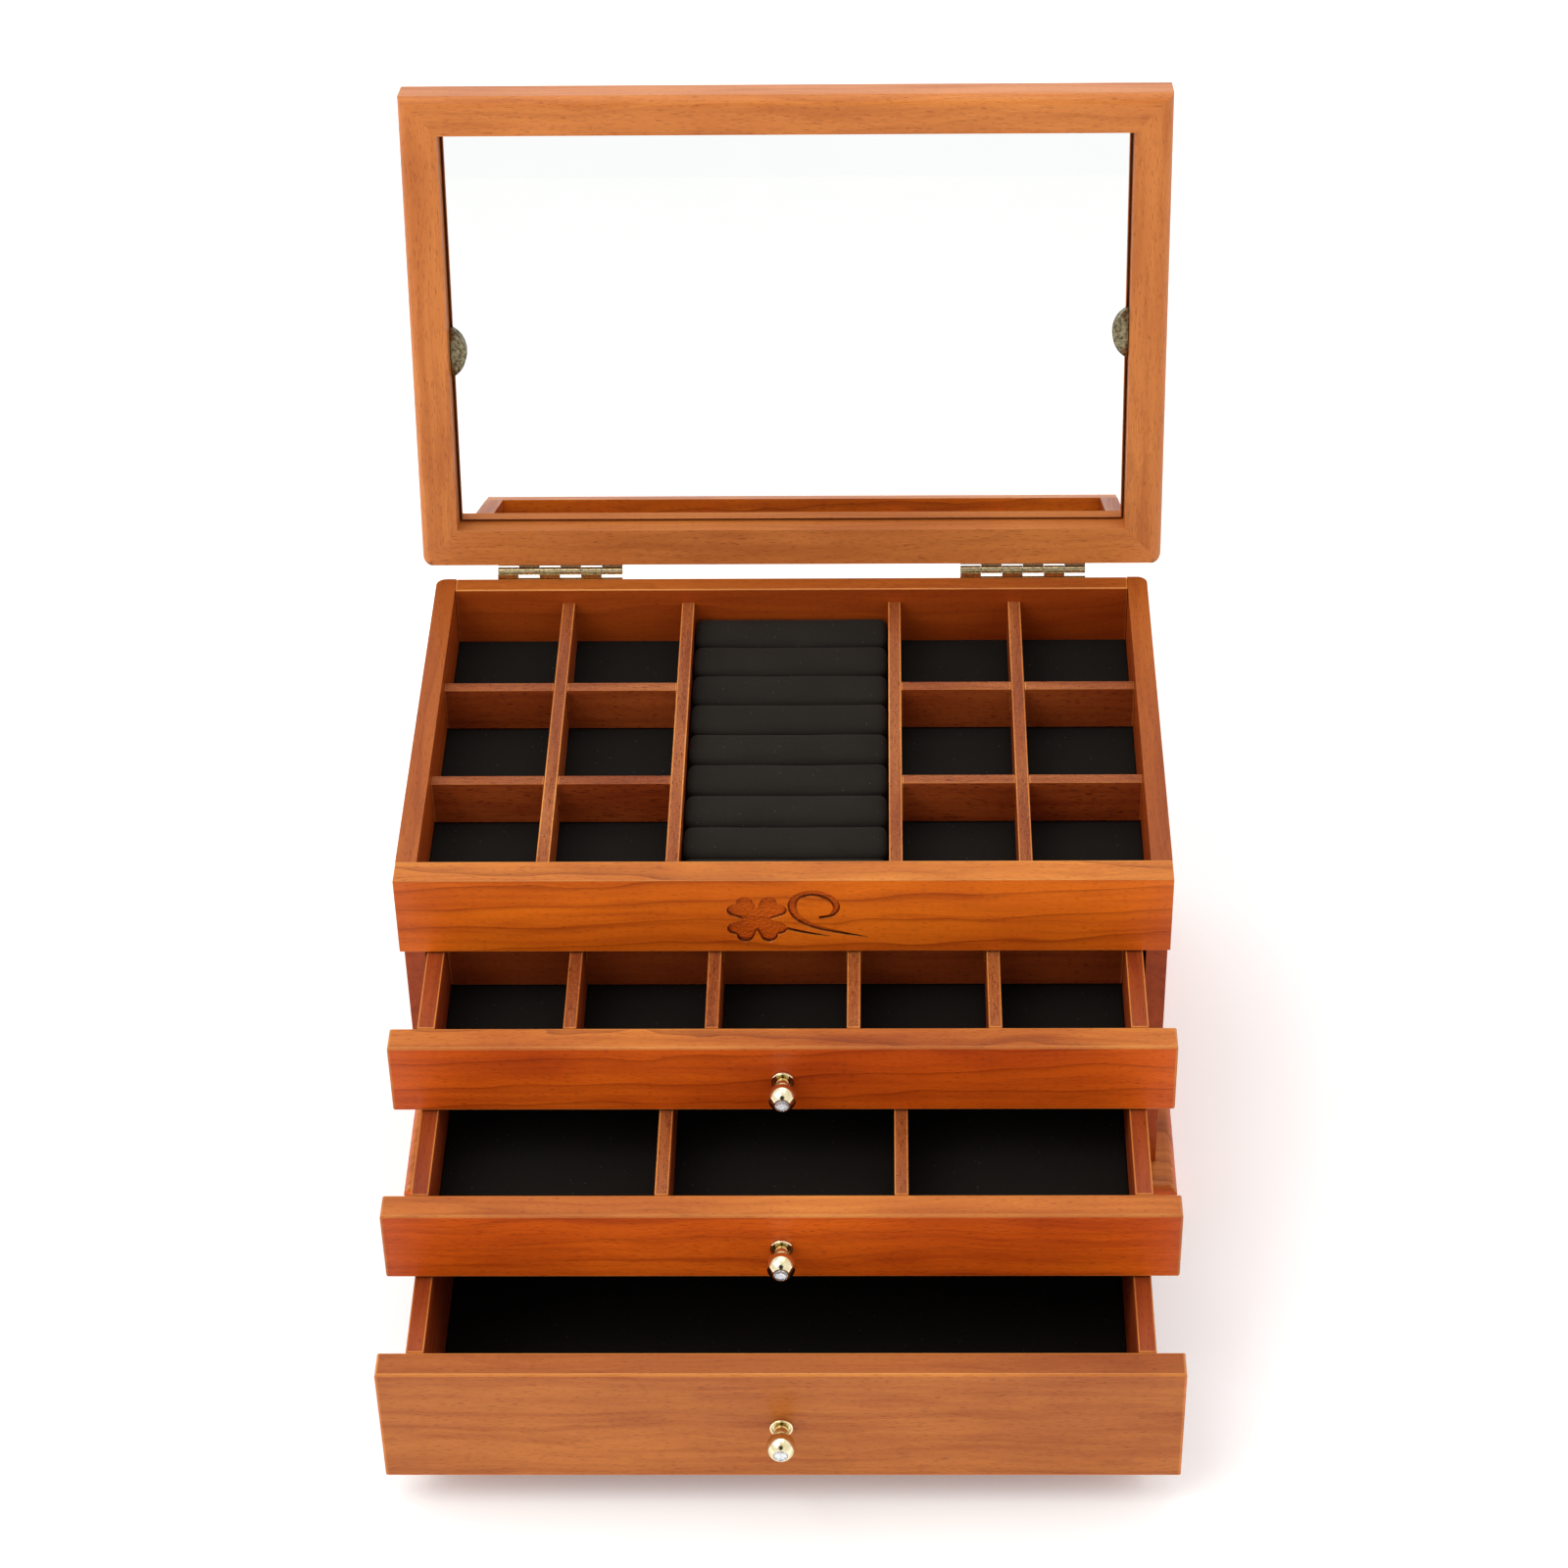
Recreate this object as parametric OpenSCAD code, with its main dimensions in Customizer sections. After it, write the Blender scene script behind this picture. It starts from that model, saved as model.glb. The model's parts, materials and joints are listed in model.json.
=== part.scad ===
// Wooden jewellery chest: mirrored lid on two butt hinges, divided top tray, three drawers.
// Origin: centre of the case footprint on the underside of the base. Front is -Y, up is +Z.
// Everything is drawn at rest: lid open on its hinge stops, drawers pulled out.

/* [Case] */
// Outer width of the case
case_w = 290; // [230:1:360]
// Outer depth of the case, front rail included
case_d = 191; // [150:1:240]
// Thickness of the side and back panels
panel_t = 8; // [6:0.5:12]
// Thickness of the front rail and of the drawer fronts
front_t = 11; // [8:0.5:14]
// Radius of the two back vertical corners
back_corner_r = 4; // [1:0.5:6]
// Height of the fixed front rail
rail_h = 35; // [30:0.5:50]

/* [Base] */
// Thickness of the base board
base_h = 14; // [8:0.5:20]
// How far the base stands out past each side
base_side_out = 8; // [2:0.5:14]
// How far the base stands out past the front and the back
base_front_out = 4; // [2:0.5:12]
// Radius along the base's upper edges
base_edge_r = 4; // [1:0.5:6]

/* [Drawers] */
// Height of the bottom drawer's front
deep_front_h = 54; // [40:0.5:80]
// Height of the two upper drawers' fronts
shallow_front_h = 31.5; // [28:0.5:60]
// Gap between one front and the next
front_gap = 1; // [0.6:0.1:2]
// Gap behind a closed drawer front
close_gap = 0.3; // [0.2:0.1:1]
// Thickness of the shelves under the upper drawers
shelf_t = 3; // [2:0.5:5]
// Clearance of a drawer box over its shelf
slide_gap = 0.3; // [0.2:0.1:1]
// Clearance at each side of a drawer box
side_gap = 2.25; // [0.5:0.25:4]
// Clearance behind a closed drawer box
rear_gap = 3; // [1:0.5:8]
// Thickness of a drawer box's walls
box_wall_t = 6.5; // [4:0.5:9]
// Thickness of a drawer's bottom board
box_floor_t = 3; // [2:0.5:5]
// Length of the top drawer's box left in the case
top_held = 116.7; // [60:0.1:130]
// Length of the middle drawer's box left in the case
middle_held = 62.7; // [30:0.1:120]
// Length of the bottom drawer's box left in the case
bottom_held = 15.7; // [15:0.1:120]

/* [Tray, linings and dividers] */
// Depth of the tray floor below the rim
tray_depth = 25.3; // [20:0.5:30]
// Thickness of the board under the tray
tray_board_t = 4; // [2:0.5:6]
// Depth of the divider tops below the rim
divider_drop = 6.3; // [2:0.1:12]
// Thickness of the dividers
divider_t = 5; // [3:0.5:7]
// Width of the bay for the ring cushion
bay_w = 79; // [60:1:100]
// Thickness of the velvet linings
lining_t = 1.5; // [1:0.1:3]
// Clearance of each half-lap joint between dividers
lap_gap = 0.1; // [0.05:0.05:0.3]
// Height of the ring cushion
cushion_h = 12.3; // [8:0.1:18]
// Clearance round the ring cushion
cushion_gap = 0.3; // [0.1:0.1:1]
// Number of rolls across the ring cushion
roll_count = 9; // [5:1:12]
// Depth of the grooves between the rolls
roll_groove = 4; // [2:0.5:6]

/* [Lid] */
// How far the lid stands out past each side of the case
lid_side_out = 5.8; // [2:0.1:14]
// How far the lid stands out past the front rail
lid_front_out = 4; // [0:0.2:10]
// Thickness of the lid
lid_t = 20; // [16:0.5:28]
// Width of the lid's frame members
lid_frame_w = 15; // [10:0.5:24]
// Radius along the lid's inner face edges
lid_edge_r = 4.5; // [1:0.5:7]
// Radius along the lid's outer face edges
lid_top_r = 2; // [0.5:0.5:5]
// Gap between the closed lid and the rim
lid_gap = 0.3; // [0.2:0.1:1]
// Gap between the lid's back face and the plane of the case's back
lid_back_gap = 0.2; // [0.1:0.1:1]
// Angle the lid opens to from closed
lid_open_angle = 103.5; // [90:0.5:115]
// Thickness of the lid's panel
lid_panel_t = 6; // [3:0.5:8]
// Thickness of the card behind the mirror
card_t = 1; // [0.5:0.5:2]
// Thickness of the mirror glass
mirror_t = 3; // [2:0.5:5]
// Gap round the mirror
mirror_gap = 1; // [0.5:0.5:3]

/* [Mirror clips] */
// Length of a clip along the frame
clip_chord = 21.5; // [14:0.5:30]
// Reach of a clip over the mirror
clip_reach = 6.5; // [4:0.5:10]
// Thickness of a clip at its rim
clip_rim_t = 0.8; // [0.5:0.1:1.5]
// Height of a clip's dome over its rim
clip_dome_h = 2.2; // [1:0.1:4]
// Distance of the left clip from the lid's back edge
left_clip_y = 88.5; // [60:0.5:130]
// Distance of the right clip from the lid's back edge
right_clip_y = 95.5; // [60:0.5:130]

/* [Hinges] */
// Length of a hinge
hinge_w = 51; // [36:1:80]
// Distance of each hinge's middle from the near side of the case
hinge_in = 50.5; // [30:0.5:70]
// Number of knuckles on a hinge
knuckle_count = 6; // [4:2:8]
// Radius of the knuckles
knuckle_r = 1.6; // [1.4:0.1:2.2]
// Radius of the hinge pin
pin_r = 0.8; // [0.6:0.1:1]
// Radial clearance of the pin in the knuckles
pin_clear = 0.05; // [0.02:0.01:0.1]
// Gap between two knuckles
knuckle_gap = 0.15; // [0.1:0.05:0.4]
// Thickness of the leaves
leaf_t = 1; // [0.6:0.1:1.2]
// Height of a leaf on its panel
leaf_h = 11; // [9:0.5:14]
// Distance of the hinge axis behind the case's back
axis_out = 3; // [2.8:0.1:4]
// Height of the hinge axis over the rim
axis_up = 1.7; // [1.6:0.1:2.4]
// Radius of the hinge screws' shanks
screw_r = 1.1; // [0.8:0.1:1.3]
// Radius of the hinge screws' heads
screw_head_r = 2.1; // [1.7:0.1:2.6]
// Depth of the hinge screws in the wood
screw_depth = 6; // [4:0.5:7]
// Clearance round every screw shank
screw_clear = 0.05; // [0.02:0.01:0.2]

/* [Knobs] */
// Radius of the knob's ball
ball_r = 5.3; // [4:0.1:8]
// Length of the knob from the drawer front to its flat face
knob_len = 14.2; // [12:0.2:22]
// Radius of the knob's flange
flange_r = 4.3; // [3:0.1:6]
// Radius of the knob's neck
neck_r = 2.6; // [2:0.1:3]
// Radius of the crystal
crystal_r = 2.6; // [2:0.1:3.2]
// Depth of the crystal's seat
seat_depth = 1.2; // [0.8:0.1:2]
// Radius of the knob screw's shank
knob_screw_r = 1.45; // [1:0.05:1.6]
// Radius of the knob screw's head
knob_head_r = 3; // [2.5:0.1:4]
// Depth of the knob screw's counterbore
knob_head_h = 2.2; // [1.5:0.1:3]

/* [Carving] */
// Depth of the carving in the front rail
carve_depth = 1.4; // [0.5:0.1:2]
// Width of the carved clover
clover_w = 23; // [16:0.5:26]
// Distance of the clover's middle left of the rail's middle
clover_left = 10; // [0:0.5:40]

/* [Hidden] */
$fn = 48;
eps = 0.01;
timber = "#c0672c";
timber_light = "#cf8148";
velvet = "#1b1a1a";
antique_brass = "#8e7f57";
polished_brass = "#e8d090";

// Case planes
front_y = -case_d / 2;
back_y = case_d / 2;
inner_front_y = front_y + front_t;
inner_back_y = back_y - panel_t;
inner_w = case_w - 2 * panel_t;
inner_d = inner_back_y - inner_front_y;

// Heights, from the base up
bottom_z = base_h + front_gap;
middle_z = bottom_z + deep_front_h + front_gap;
top_z = middle_z + shallow_front_h + front_gap;
rail_z = top_z + shallow_front_h + front_gap;
rim_z = rail_z + rail_h;
lower_shelf_z = middle_z - front_gap / 2;
upper_shelf_z = top_z - front_gap / 2;

// Drawers: [front bottom, front height, box bottom, pull-out]
box_w = inner_w - 2 * side_gap;
box_d = inner_d - close_gap - rear_gap;
bottom_drawer = [bottom_z, deep_front_h, base_h + slide_gap, box_d - bottom_held];
middle_drawer = [middle_z, shallow_front_h, lower_shelf_z + shelf_t + slide_gap, box_d - middle_held];
top_drawer = [top_z, shallow_front_h, upper_shelf_z + shelf_t + slide_gap, box_d - top_held];
box_in_w = box_w - 2 * box_wall_t;
box_in_d = box_d - box_wall_t;

// Tray
lining_z = rim_z - tray_depth - lining_t;
tray_floor_z = lining_z + lining_t;
divider_top_z = rim_z - divider_drop;
bay_divider_x = (bay_w + divider_t) / 2;
side_bay_w = inner_w / 2 - bay_w / 2 - divider_t;
long_divider_x = inner_w / 2 - side_bay_w / 2;

// Lid, drawn closed and then turned open about the hinge axis
lid_z = rim_z + lid_gap;
lid_w = case_w + 2 * lid_side_out;
lid_back_y = back_y - lid_back_gap;
lid_front_y = front_y - lid_front_out;
lid_d = lid_back_y - lid_front_y;
lid_mid_y = (lid_back_y + lid_front_y) / 2;
lid_top_z = lid_z + lid_t;
panel_z = lid_top_z - lid_panel_t;
card_z = panel_z - card_t;
mirror_z = card_z - mirror_t;
open_w = lid_w - 2 * lid_frame_w;
open_d = lid_d - 2 * lid_frame_w;
axis_y = back_y + axis_out;
axis_z = rim_z + axis_up;
hinge_x = case_w / 2 - hinge_in;
knuckle_w = hinge_w / knuckle_count;
leaf_edge_gap = 0.2;
screw_spacing = hinge_w / 3;
screw_head_h = 0.8;
screw_slot_w = 0.6;
screw_slot_depth = 0.45;

// Knob
ball_y = knob_len - sqrt(ball_r * ball_r - pow(crystal_r + 0.5, 2));
knob_bore_len = 8;
knob_thread_clear = 0.05;

module box_from(low, high) {
    translate(low) cube(high - low);
}

// Plan outline with rounded back corners
module plan_rounded_back(w, y0, y1, r) {
    translate([-w / 2, y0]) square([w, y1 - y0 - r]);
    translate([-w / 2 + r, y0]) square([w - 2 * r, y1 - y0]);
    for (side = [-1, 1]) translate([side * (w / 2 - r), y1 - r]) circle(r = r);
}

// Section of a board with two radii at the bottom edges and two at the top edges
module board_section(x0, x1, h, low_r, high_r) {
    w = x1 - x0;
    low = max(low_r, eps);
    high = max(high_r, eps);
    translate([x0, low]) square([w, h - low - high]);
    translate([x0 + low, 0]) square([w - 2 * low, h / 2]);
    translate([x0 + high, h / 2]) square([w - 2 * high, h / 2]);
    for (x = [x0 + low, x1 - low]) translate([x, low]) circle(r = low);
    for (x = [x0 + high, x1 - high]) translate([x, h - high]) circle(r = high);
}

// A section in X and Z drawn along Y, and a section in Y and Z drawn along X
module along_y(y0, y1) {
    translate([0, y1, 0]) rotate([90, 0, 0]) linear_extrude(y1 - y0) children();
}
module along_x(x0, x1) {
    translate([x0, 0, 0]) rotate([90, 0, 90]) linear_extrude(x1 - x0) children();
}

// ---- Case ----
module base_plinth() {
    half_w = case_w / 2 + base_side_out;
    y0 = front_y - base_front_out;
    y1 = back_y + base_front_out;
    color(timber) intersection() {
        along_y(y0, y1) board_section(-half_w, half_w, base_h, 0, base_edge_r);
        along_x(-half_w, half_w) board_section(y0, y1, base_h, 0, base_edge_r);
    }
}

module side_panel(side) {
    x_in = side * inner_w / 2;
    x_out = side * case_w / 2;
    color(timber_light) intersection() {
        box_from([min(x_in, x_out), inner_front_y, base_h], [max(x_in, x_out), back_y, rim_z]);
        linear_extrude(rim_z) plan_rounded_back(case_w, inner_front_y, back_y, back_corner_r);
    }
}

module back_panel() {
    color(timber) difference() {
        box_from([-inner_w / 2, inner_back_y, base_h], [inner_w / 2, back_y, rim_z]);
        each_hinge() leaf_screws(back_y, rim_z - leaf_h / 2) pilot();
    }
}

module front_rail() {
    color(timber) difference() {
        box_from([-case_w / 2, front_y, rail_z], [case_w / 2, inner_front_y, rim_z]);
        translate([0, front_y + carve_depth, rail_z + rail_h / 2]) rotate([90, 0, 0])
            linear_extrude(carve_depth + 1) clover_and_stem();
    }
}

// Middle line of the curl: across and up from the rail's middle, and half its width there
curl_line = [
    [13.2, -0.9, 0.7], [18, 0.3, 1.1], [19.8, 4.6, 1.4], [16.8, 9, 1.6], [10.7, 11, 1.6], [5, 9, 1.6],
    [3.2, 4.4, 1.7], [5.5, -1.2, 1.6], [12, -5.5, 1.3], [21.1, -8.3, 0.9], [31.4, -10.4, 0.2]
];
stem_line = [[-5, -3, 0.9], [1.6, -6.3, 0.9], [9.5, -8.5, 0.7], [17.4, -10, 0.2]];

function between(line, i, t) =
    let (a = line[max(i - 1, 0)], b = line[i], c = line[i + 1], d = line[min(i + 2, len(line) - 1)])
    (2 * b + (c - a) * t + (2 * a - 5 * b + 4 * c - d) * t * t + (3 * b - a - 3 * c + d) * t * t * t) / 2;

function smoothed(line) =
    concat([for (i = [0:len(line) - 2], t = [0:0.2:0.8]) between(line, i, t)], [line[len(line) - 1]]);

module ribbon(line) {
    run = smoothed(line) * clover_w / 23;
    last = len(run) - 1;
    along = [for (i = [0:last]) run[min(i + 1, last)] - run[max(i - 1, 0)]];
    out = [for (d = along) [-d[1], d[0]] / norm([d[0], d[1]])];
    edge = [for (i = [0:last]) [run[i][0], run[i][1]] + out[i] * run[i][2]];
    other = [for (i = [last:-1:0]) [run[i][0], run[i][1]] - out[i] * run[i][2]];
    polygon(concat(edge, other));
}

// A plain four-leaf clover on a curled stem
module clover_and_stem() {
    lobe_r = clover_w * 0.14;
    lobe_out = clover_w * 0.4;
    translate([-clover_left, -clover_w * 0.08]) {
        circle(r = lobe_r * 0.8);
        for (leaf = [0:3], turn = [-16, 16]) rotate(leaf * 90 + 45 + turn) {
            translate([lobe_out, 0]) circle(r = lobe_r);
            polygon([[0, -lobe_r * 0.6], [lobe_out, -lobe_r], [lobe_out, lobe_r], [0, lobe_r * 0.6]]);
        }
    }
    ribbon(curl_line);
    ribbon(stem_line);
}

module shelf(z) {
    color(timber) box_from([-inner_w / 2, inner_front_y, z], [inner_w / 2, inner_back_y, z + shelf_t]);
}

// ---- Tray ----
module tray_board() {
    color(timber) box_from([-inner_w / 2, inner_front_y, lining_z - tray_board_t],
        [inner_w / 2, inner_back_y, lining_z]);
}

module tray_lining() {
    color(velvet) box_from([-inner_w / 2, inner_front_y, lining_z],
        [inner_w / 2, inner_back_y, tray_floor_z]);
}

module tray_bay_dividers() {
    color(timber_light) for (side = [-1, 1])
        long_divider(side * bay_divider_x, inner_front_y, inner_back_y, tray_floor_z, divider_top_z);
}

module tray_long_dividers() {
    color(timber_light) for (side = [-1, 1])
        lapped_long_divider(side * long_divider_x, inner_front_y, inner_back_y, tray_floor_z,
            divider_top_z);
}

module tray_cross_dividers() {
    color(timber_light) for (side = [-1, 1]) {
        x_in = side * (bay_w / 2 + divider_t);
        x_out = side * inner_w / 2;
        lapped_cross_dividers(min(x_in, x_out), max(x_in, x_out), inner_front_y, inner_back_y,
            tray_floor_z, divider_top_z, [side * long_divider_x]);
    }
}

module long_divider(x, y0, y1, z0, z1) {
    box_from([x - divider_t / 2, y0, z0], [x + divider_t / 2, y1, z1]);
}

// The two cross dividers cut the depth into three equal cells
function cross_ys(y0, y1) = [for (i = [1, 2]) y0 + i * (y1 - y0 - 2 * divider_t) / 3
    + (i - 0.5) * divider_t];

// Long dividers are notched from below, cross dividers from above
module lapped_long_divider(x, y0, y1, z0, z1) {
    notch = divider_t + 2 * lap_gap;
    difference() {
        long_divider(x, y0, y1, z0, z1);
        for (y = cross_ys(y0, y1))
            box_from([x - notch, y - notch / 2, z0 - 1], [x + notch, y + notch / 2, (z0 + z1) / 2]);
    }
}

module lapped_cross_dividers(x0, x1, y0, y1, z0, z1, long_xs) {
    notch = divider_t + 2 * lap_gap;
    for (y = cross_ys(y0, y1)) difference() {
        box_from([x0, y - divider_t / 2, z0], [x1, y + divider_t / 2, z1]);
        for (x = long_xs)
            box_from([x - notch / 2, y - notch, (z0 + z1) / 2 - lap_gap], [x + notch / 2, y + notch, z1 + 1]);
    }
}

module ring_cushion() {
    y0 = inner_front_y + cushion_gap;
    length = inner_d - 2 * cushion_gap;
    width = bay_w - 2 * cushion_gap;
    pitch = length / roll_count;
    roll_r = (pitch * pitch / 4 + roll_groove * roll_groove) / (2 * roll_groove);
    top = tray_floor_z + cushion_h;
    color(velvet) intersection() {
        box_from([-width / 2, y0, tray_floor_z], [width / 2, y0 + length, top]);
        union() {
            box_from([-width / 2, y0, tray_floor_z], [width / 2, y0 + length, top - roll_groove]);
            for (i = [0:roll_count - 1]) intersection() {
                box_from([-width / 2, y0 + i * pitch, tray_floor_z],
                    [width / 2, y0 + (i + 1) * pitch, top]);
                translate([-width / 2, y0 + (i + 0.5) * pitch, top - roll_r]) rotate([0, 90, 0])
                    cylinder(r = roll_r, h = width);
            }
        }
    }
}

// ---- Hinges ----
module opened() {
    translate([0, axis_y, axis_z]) rotate([-lid_open_angle, 0, 0]) translate([0, -axis_y, -axis_z])
        children();
}

module each_hinge() {
    for (side = [-1, 1]) translate([side * hinge_x, 0, 0]) children();
}

// Three screws in a row, into a face that looks along +Y
module leaf_screws(face_y, z) {
    for (i = [-1:1]) translate([i * screw_spacing, face_y, z]) rotate([-90, 0, 0]) children();
}

module pilot() {
    translate([0, 0, -screw_depth - 0.5]) cylinder(r = screw_r + screw_clear, h = screw_depth + 5);
}

module hinge_screw() {
    translate([0, 0, -screw_depth]) cylinder(r = screw_r, h = screw_depth + leaf_t + eps);
    translate([0, 0, leaf_t]) difference() {
        intersection() {
            cylinder(r = screw_head_r, h = screw_head_h);
            translate([0, 0, screw_head_h - 2 * screw_head_r]) sphere(r = 2 * screw_head_r);
        }
        translate([-screw_head_r - 1, -screw_slot_w / 2, screw_head_h - screw_slot_depth])
            cube([2 * screw_head_r + 2, screw_slot_w, screw_head_h]);
    }
}

// Knuckles of one leaf: every second one, from the first or from the second
module knuckles(first) {
    for (i = [first:2:knuckle_count - 1])
        translate([-hinge_w / 2 + i * knuckle_w + knuckle_gap / 2, axis_y, axis_z]) rotate([0, 90, 0])
            cylinder(r = knuckle_r, h = knuckle_w - knuckle_gap);
}

module pin_hole() {
    translate([-hinge_w / 2 - 1, axis_y, axis_z]) rotate([0, 90, 0])
        cylinder(r = pin_r + pin_clear, h = hinge_w + 2);
}

// Strip that joins a leaf to its own knuckles
module necks(first, face_y, z0, z1, neck_z0, neck_z1) {
    for (i = [first:2:knuckle_count - 1]) {
        x0 = -hinge_w / 2 + i * knuckle_w + knuckle_gap / 2;
        x1 = x0 + knuckle_w - knuckle_gap;
        box_from([x0, face_y, z0], [x1, face_y + leaf_t, z1]);
        box_from([x0, face_y, neck_z0], [x1, axis_y, neck_z1]);
    }
}

module hinge_case_leaf(side) {
    top = rim_z - leaf_edge_gap;
    color(antique_brass) translate([side * hinge_x, 0, 0]) difference() {
        union() {
            box_from([-hinge_w / 2, back_y, rim_z - leaf_h], [hinge_w / 2, back_y + leaf_t, top]);
            necks(0, back_y, top - eps, axis_z, axis_z - leaf_t, axis_z);
            knuckles(0);
        }
        pin_hole();
        leaf_screws(back_y, rim_z - leaf_h / 2) pilot();
    }
}

module hinge_lid_leaf(side) {
    bottom = axis_z + leaf_edge_gap;
    color(antique_brass) opened() translate([side * hinge_x, 0, 0]) difference() {
        union() {
            box_from([-hinge_w / 2, lid_back_y, bottom], [hinge_w / 2, lid_back_y + leaf_t, lid_z + leaf_h]);
            necks(1, lid_back_y, axis_z, bottom + eps, axis_z, axis_z + leaf_t);
            knuckles(1);
        }
        pin_hole();
        leaf_screws(lid_back_y, lid_z + leaf_h / 2) pilot();
    }
}

module hinge_pins() {
    color(antique_brass) each_hinge() translate([-hinge_w / 2, axis_y, axis_z]) rotate([0, 90, 0])
        cylinder(r = pin_r, h = hinge_w);
}

module case_hinge_screws() {
    color(antique_brass) each_hinge() leaf_screws(back_y, rim_z - leaf_h / 2) hinge_screw();
}

module lid_hinge_screws() {
    color(antique_brass) opened() each_hinge()
        leaf_screws(lid_back_y, lid_z + leaf_h / 2) hinge_screw();
}

// ---- Lid ----
module lid_blank() {
    intersection() {
        translate([0, 0, lid_z]) along_y(lid_front_y, lid_back_y)
            board_section(-lid_w / 2, lid_w / 2, lid_t, lid_edge_r, lid_top_r);
        translate([0, 0, lid_z]) along_x(-lid_w / 2, lid_w / 2)
            board_section(lid_front_y, lid_back_y + 2 * lid_edge_r, lid_t, lid_edge_r, lid_top_r);
        translate([0, 0, lid_z]) linear_extrude(lid_t)
            plan_rounded_back(lid_w, lid_front_y, lid_back_y, back_corner_r);
    }
}

// Mitred members, given by the corners of their plan
module lid_member(corners) {
    color(timber_light) opened() intersection() {
        lid_blank();
        translate([0, 0, lid_z - 1]) linear_extrude(lid_t + 2) polygon(corners);
    }
}

module lid_front_rail() {
    lid_member([[-lid_w / 2, lid_front_y], [lid_w / 2, lid_front_y],
        [open_w / 2, lid_front_y + lid_frame_w], [-open_w / 2, lid_front_y + lid_frame_w]]);
}

module lid_back_rail() {
    difference() {
        lid_member([[-lid_w / 2, lid_back_y], [lid_w / 2, lid_back_y],
            [open_w / 2, lid_back_y - lid_frame_w], [-open_w / 2, lid_back_y - lid_frame_w]]);
        opened() each_hinge() leaf_screws(lid_back_y, lid_z + leaf_h / 2) pilot();
    }
}

module lid_stile(side) {
    lid_member([[side * lid_w / 2, lid_front_y], [side * lid_w / 2, lid_back_y],
        [side * open_w / 2, lid_back_y - lid_frame_w], [side * open_w / 2, lid_front_y + lid_frame_w]]);
}

module lid_sheet(gap, z, t) {
    opened() translate([-open_w / 2 + gap, lid_mid_y - open_d / 2 + gap, z])
        cube([open_w - 2 * gap, open_d - 2 * gap, t]);
}

module lid_panel() {
    color(timber) lid_sheet(0, panel_z, lid_panel_t);
}

module mirror_card() {
    color("dimgray") lid_sheet(mirror_gap, card_z, card_t);
}

module mirror_glass() {
    color("lightsteelblue") lid_sheet(mirror_gap, mirror_z, mirror_t);
}

// Half-round domed clip against a stile's inner face
module mirror_clip(side, clip_y) {
    clip_r = (clip_chord * clip_chord / 4 + clip_reach * clip_reach) / (2 * clip_reach);
    dome_r = (clip_r * clip_r + clip_dome_h * clip_dome_h) / (2 * clip_dome_h);
    x_wall = side * open_w / 2;
    x_far = side * (open_w / 2 - clip_reach - 1);
    color("#6e6148") opened() intersection() {
        translate([side * (open_w / 2 - clip_reach + clip_r), lid_back_y - clip_y, 0]) {
            translate([0, 0, mirror_z - clip_rim_t]) cylinder(r = clip_r, h = clip_rim_t, $fn = 96);
            intersection() {
                translate([0, 0, mirror_z - clip_rim_t - clip_dome_h + dome_r]) sphere(r = dome_r, $fn = 96);
                translate([0, 0, mirror_z - clip_rim_t - clip_dome_h - 1])
                    cylinder(r = clip_r, h = clip_dome_h + 1 + eps, $fn = 96);
            }
        }
        box_from([min(x_wall, x_far), lid_front_y, lid_z], [max(x_wall, x_far), lid_back_y, mirror_z]);
    }
}

// ---- Drawers ----
// A drawer is drawn with its front's back face in the plane y = 0
module placed(drawer) {
    translate([0, inner_front_y - close_gap - drawer[3], 0]) children();
}
function front_z0(drawer) = drawer[0];
function front_z1(drawer) = drawer[0] + drawer[1];
function box_z0(drawer) = drawer[2];
function floor_top(drawer) = drawer[2] + box_floor_t;
function lining_top(drawer) = drawer[2] + box_floor_t + lining_t;
function knob_z(drawer) = drawer[0] + drawer[1] / 2;

module drawer_front(drawer) {
    color(timber) placed(drawer) difference() {
        box_from([-case_w / 2, -front_t, front_z0(drawer)], [case_w / 2, 0, front_z1(drawer)]);
        translate([0, 1, knob_z(drawer)]) rotate([90, 0, 0]) {
            cylinder(r = knob_screw_r + screw_clear, h = front_t + 2);
            cylinder(r = knob_head_r + screw_clear, h = knob_head_h + 1);
        }
    }
}

module drawer_side_wall(drawer, side) {
    x_in = side * box_in_w / 2;
    x_out = side * box_w / 2;
    color(timber_light) placed(drawer)
        box_from([min(x_in, x_out), 0, box_z0(drawer)], [max(x_in, x_out), box_d, front_z1(drawer)]);
}

module drawer_back_wall(drawer) {
    color(timber_light) placed(drawer)
        box_from([-box_in_w / 2, box_in_d, box_z0(drawer)], [box_in_w / 2, box_d, front_z1(drawer)]);
}

module drawer_floor(drawer) {
    color(timber_light) placed(drawer)
        box_from([-box_in_w / 2, 0, box_z0(drawer)], [box_in_w / 2, box_in_d, floor_top(drawer)]);
}

module drawer_lining(drawer) {
    color(velvet) placed(drawer)
        box_from([-box_in_w / 2, 0, floor_top(drawer)], [box_in_w / 2, box_in_d, lining_top(drawer)]);
}

// Middles of count dividers that cut the width into equal cells
function divider_xs(count) = [for (i = [1:count]) -box_in_w / 2
    + i * (box_in_w - count * divider_t) / (count + 1) + (i - 0.5) * divider_t];

module top_drawer_long_dividers() {
    color(timber_light) placed(top_drawer) for (x = divider_xs(4))
        lapped_long_divider(x, 0, box_in_d, lining_top(top_drawer), front_z1(top_drawer));
}

module top_drawer_cross_dividers() {
    color(timber_light) placed(top_drawer)
        lapped_cross_dividers(-box_in_w / 2, box_in_w / 2, 0, box_in_d, lining_top(top_drawer),
            front_z1(top_drawer), divider_xs(4));
}

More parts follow.
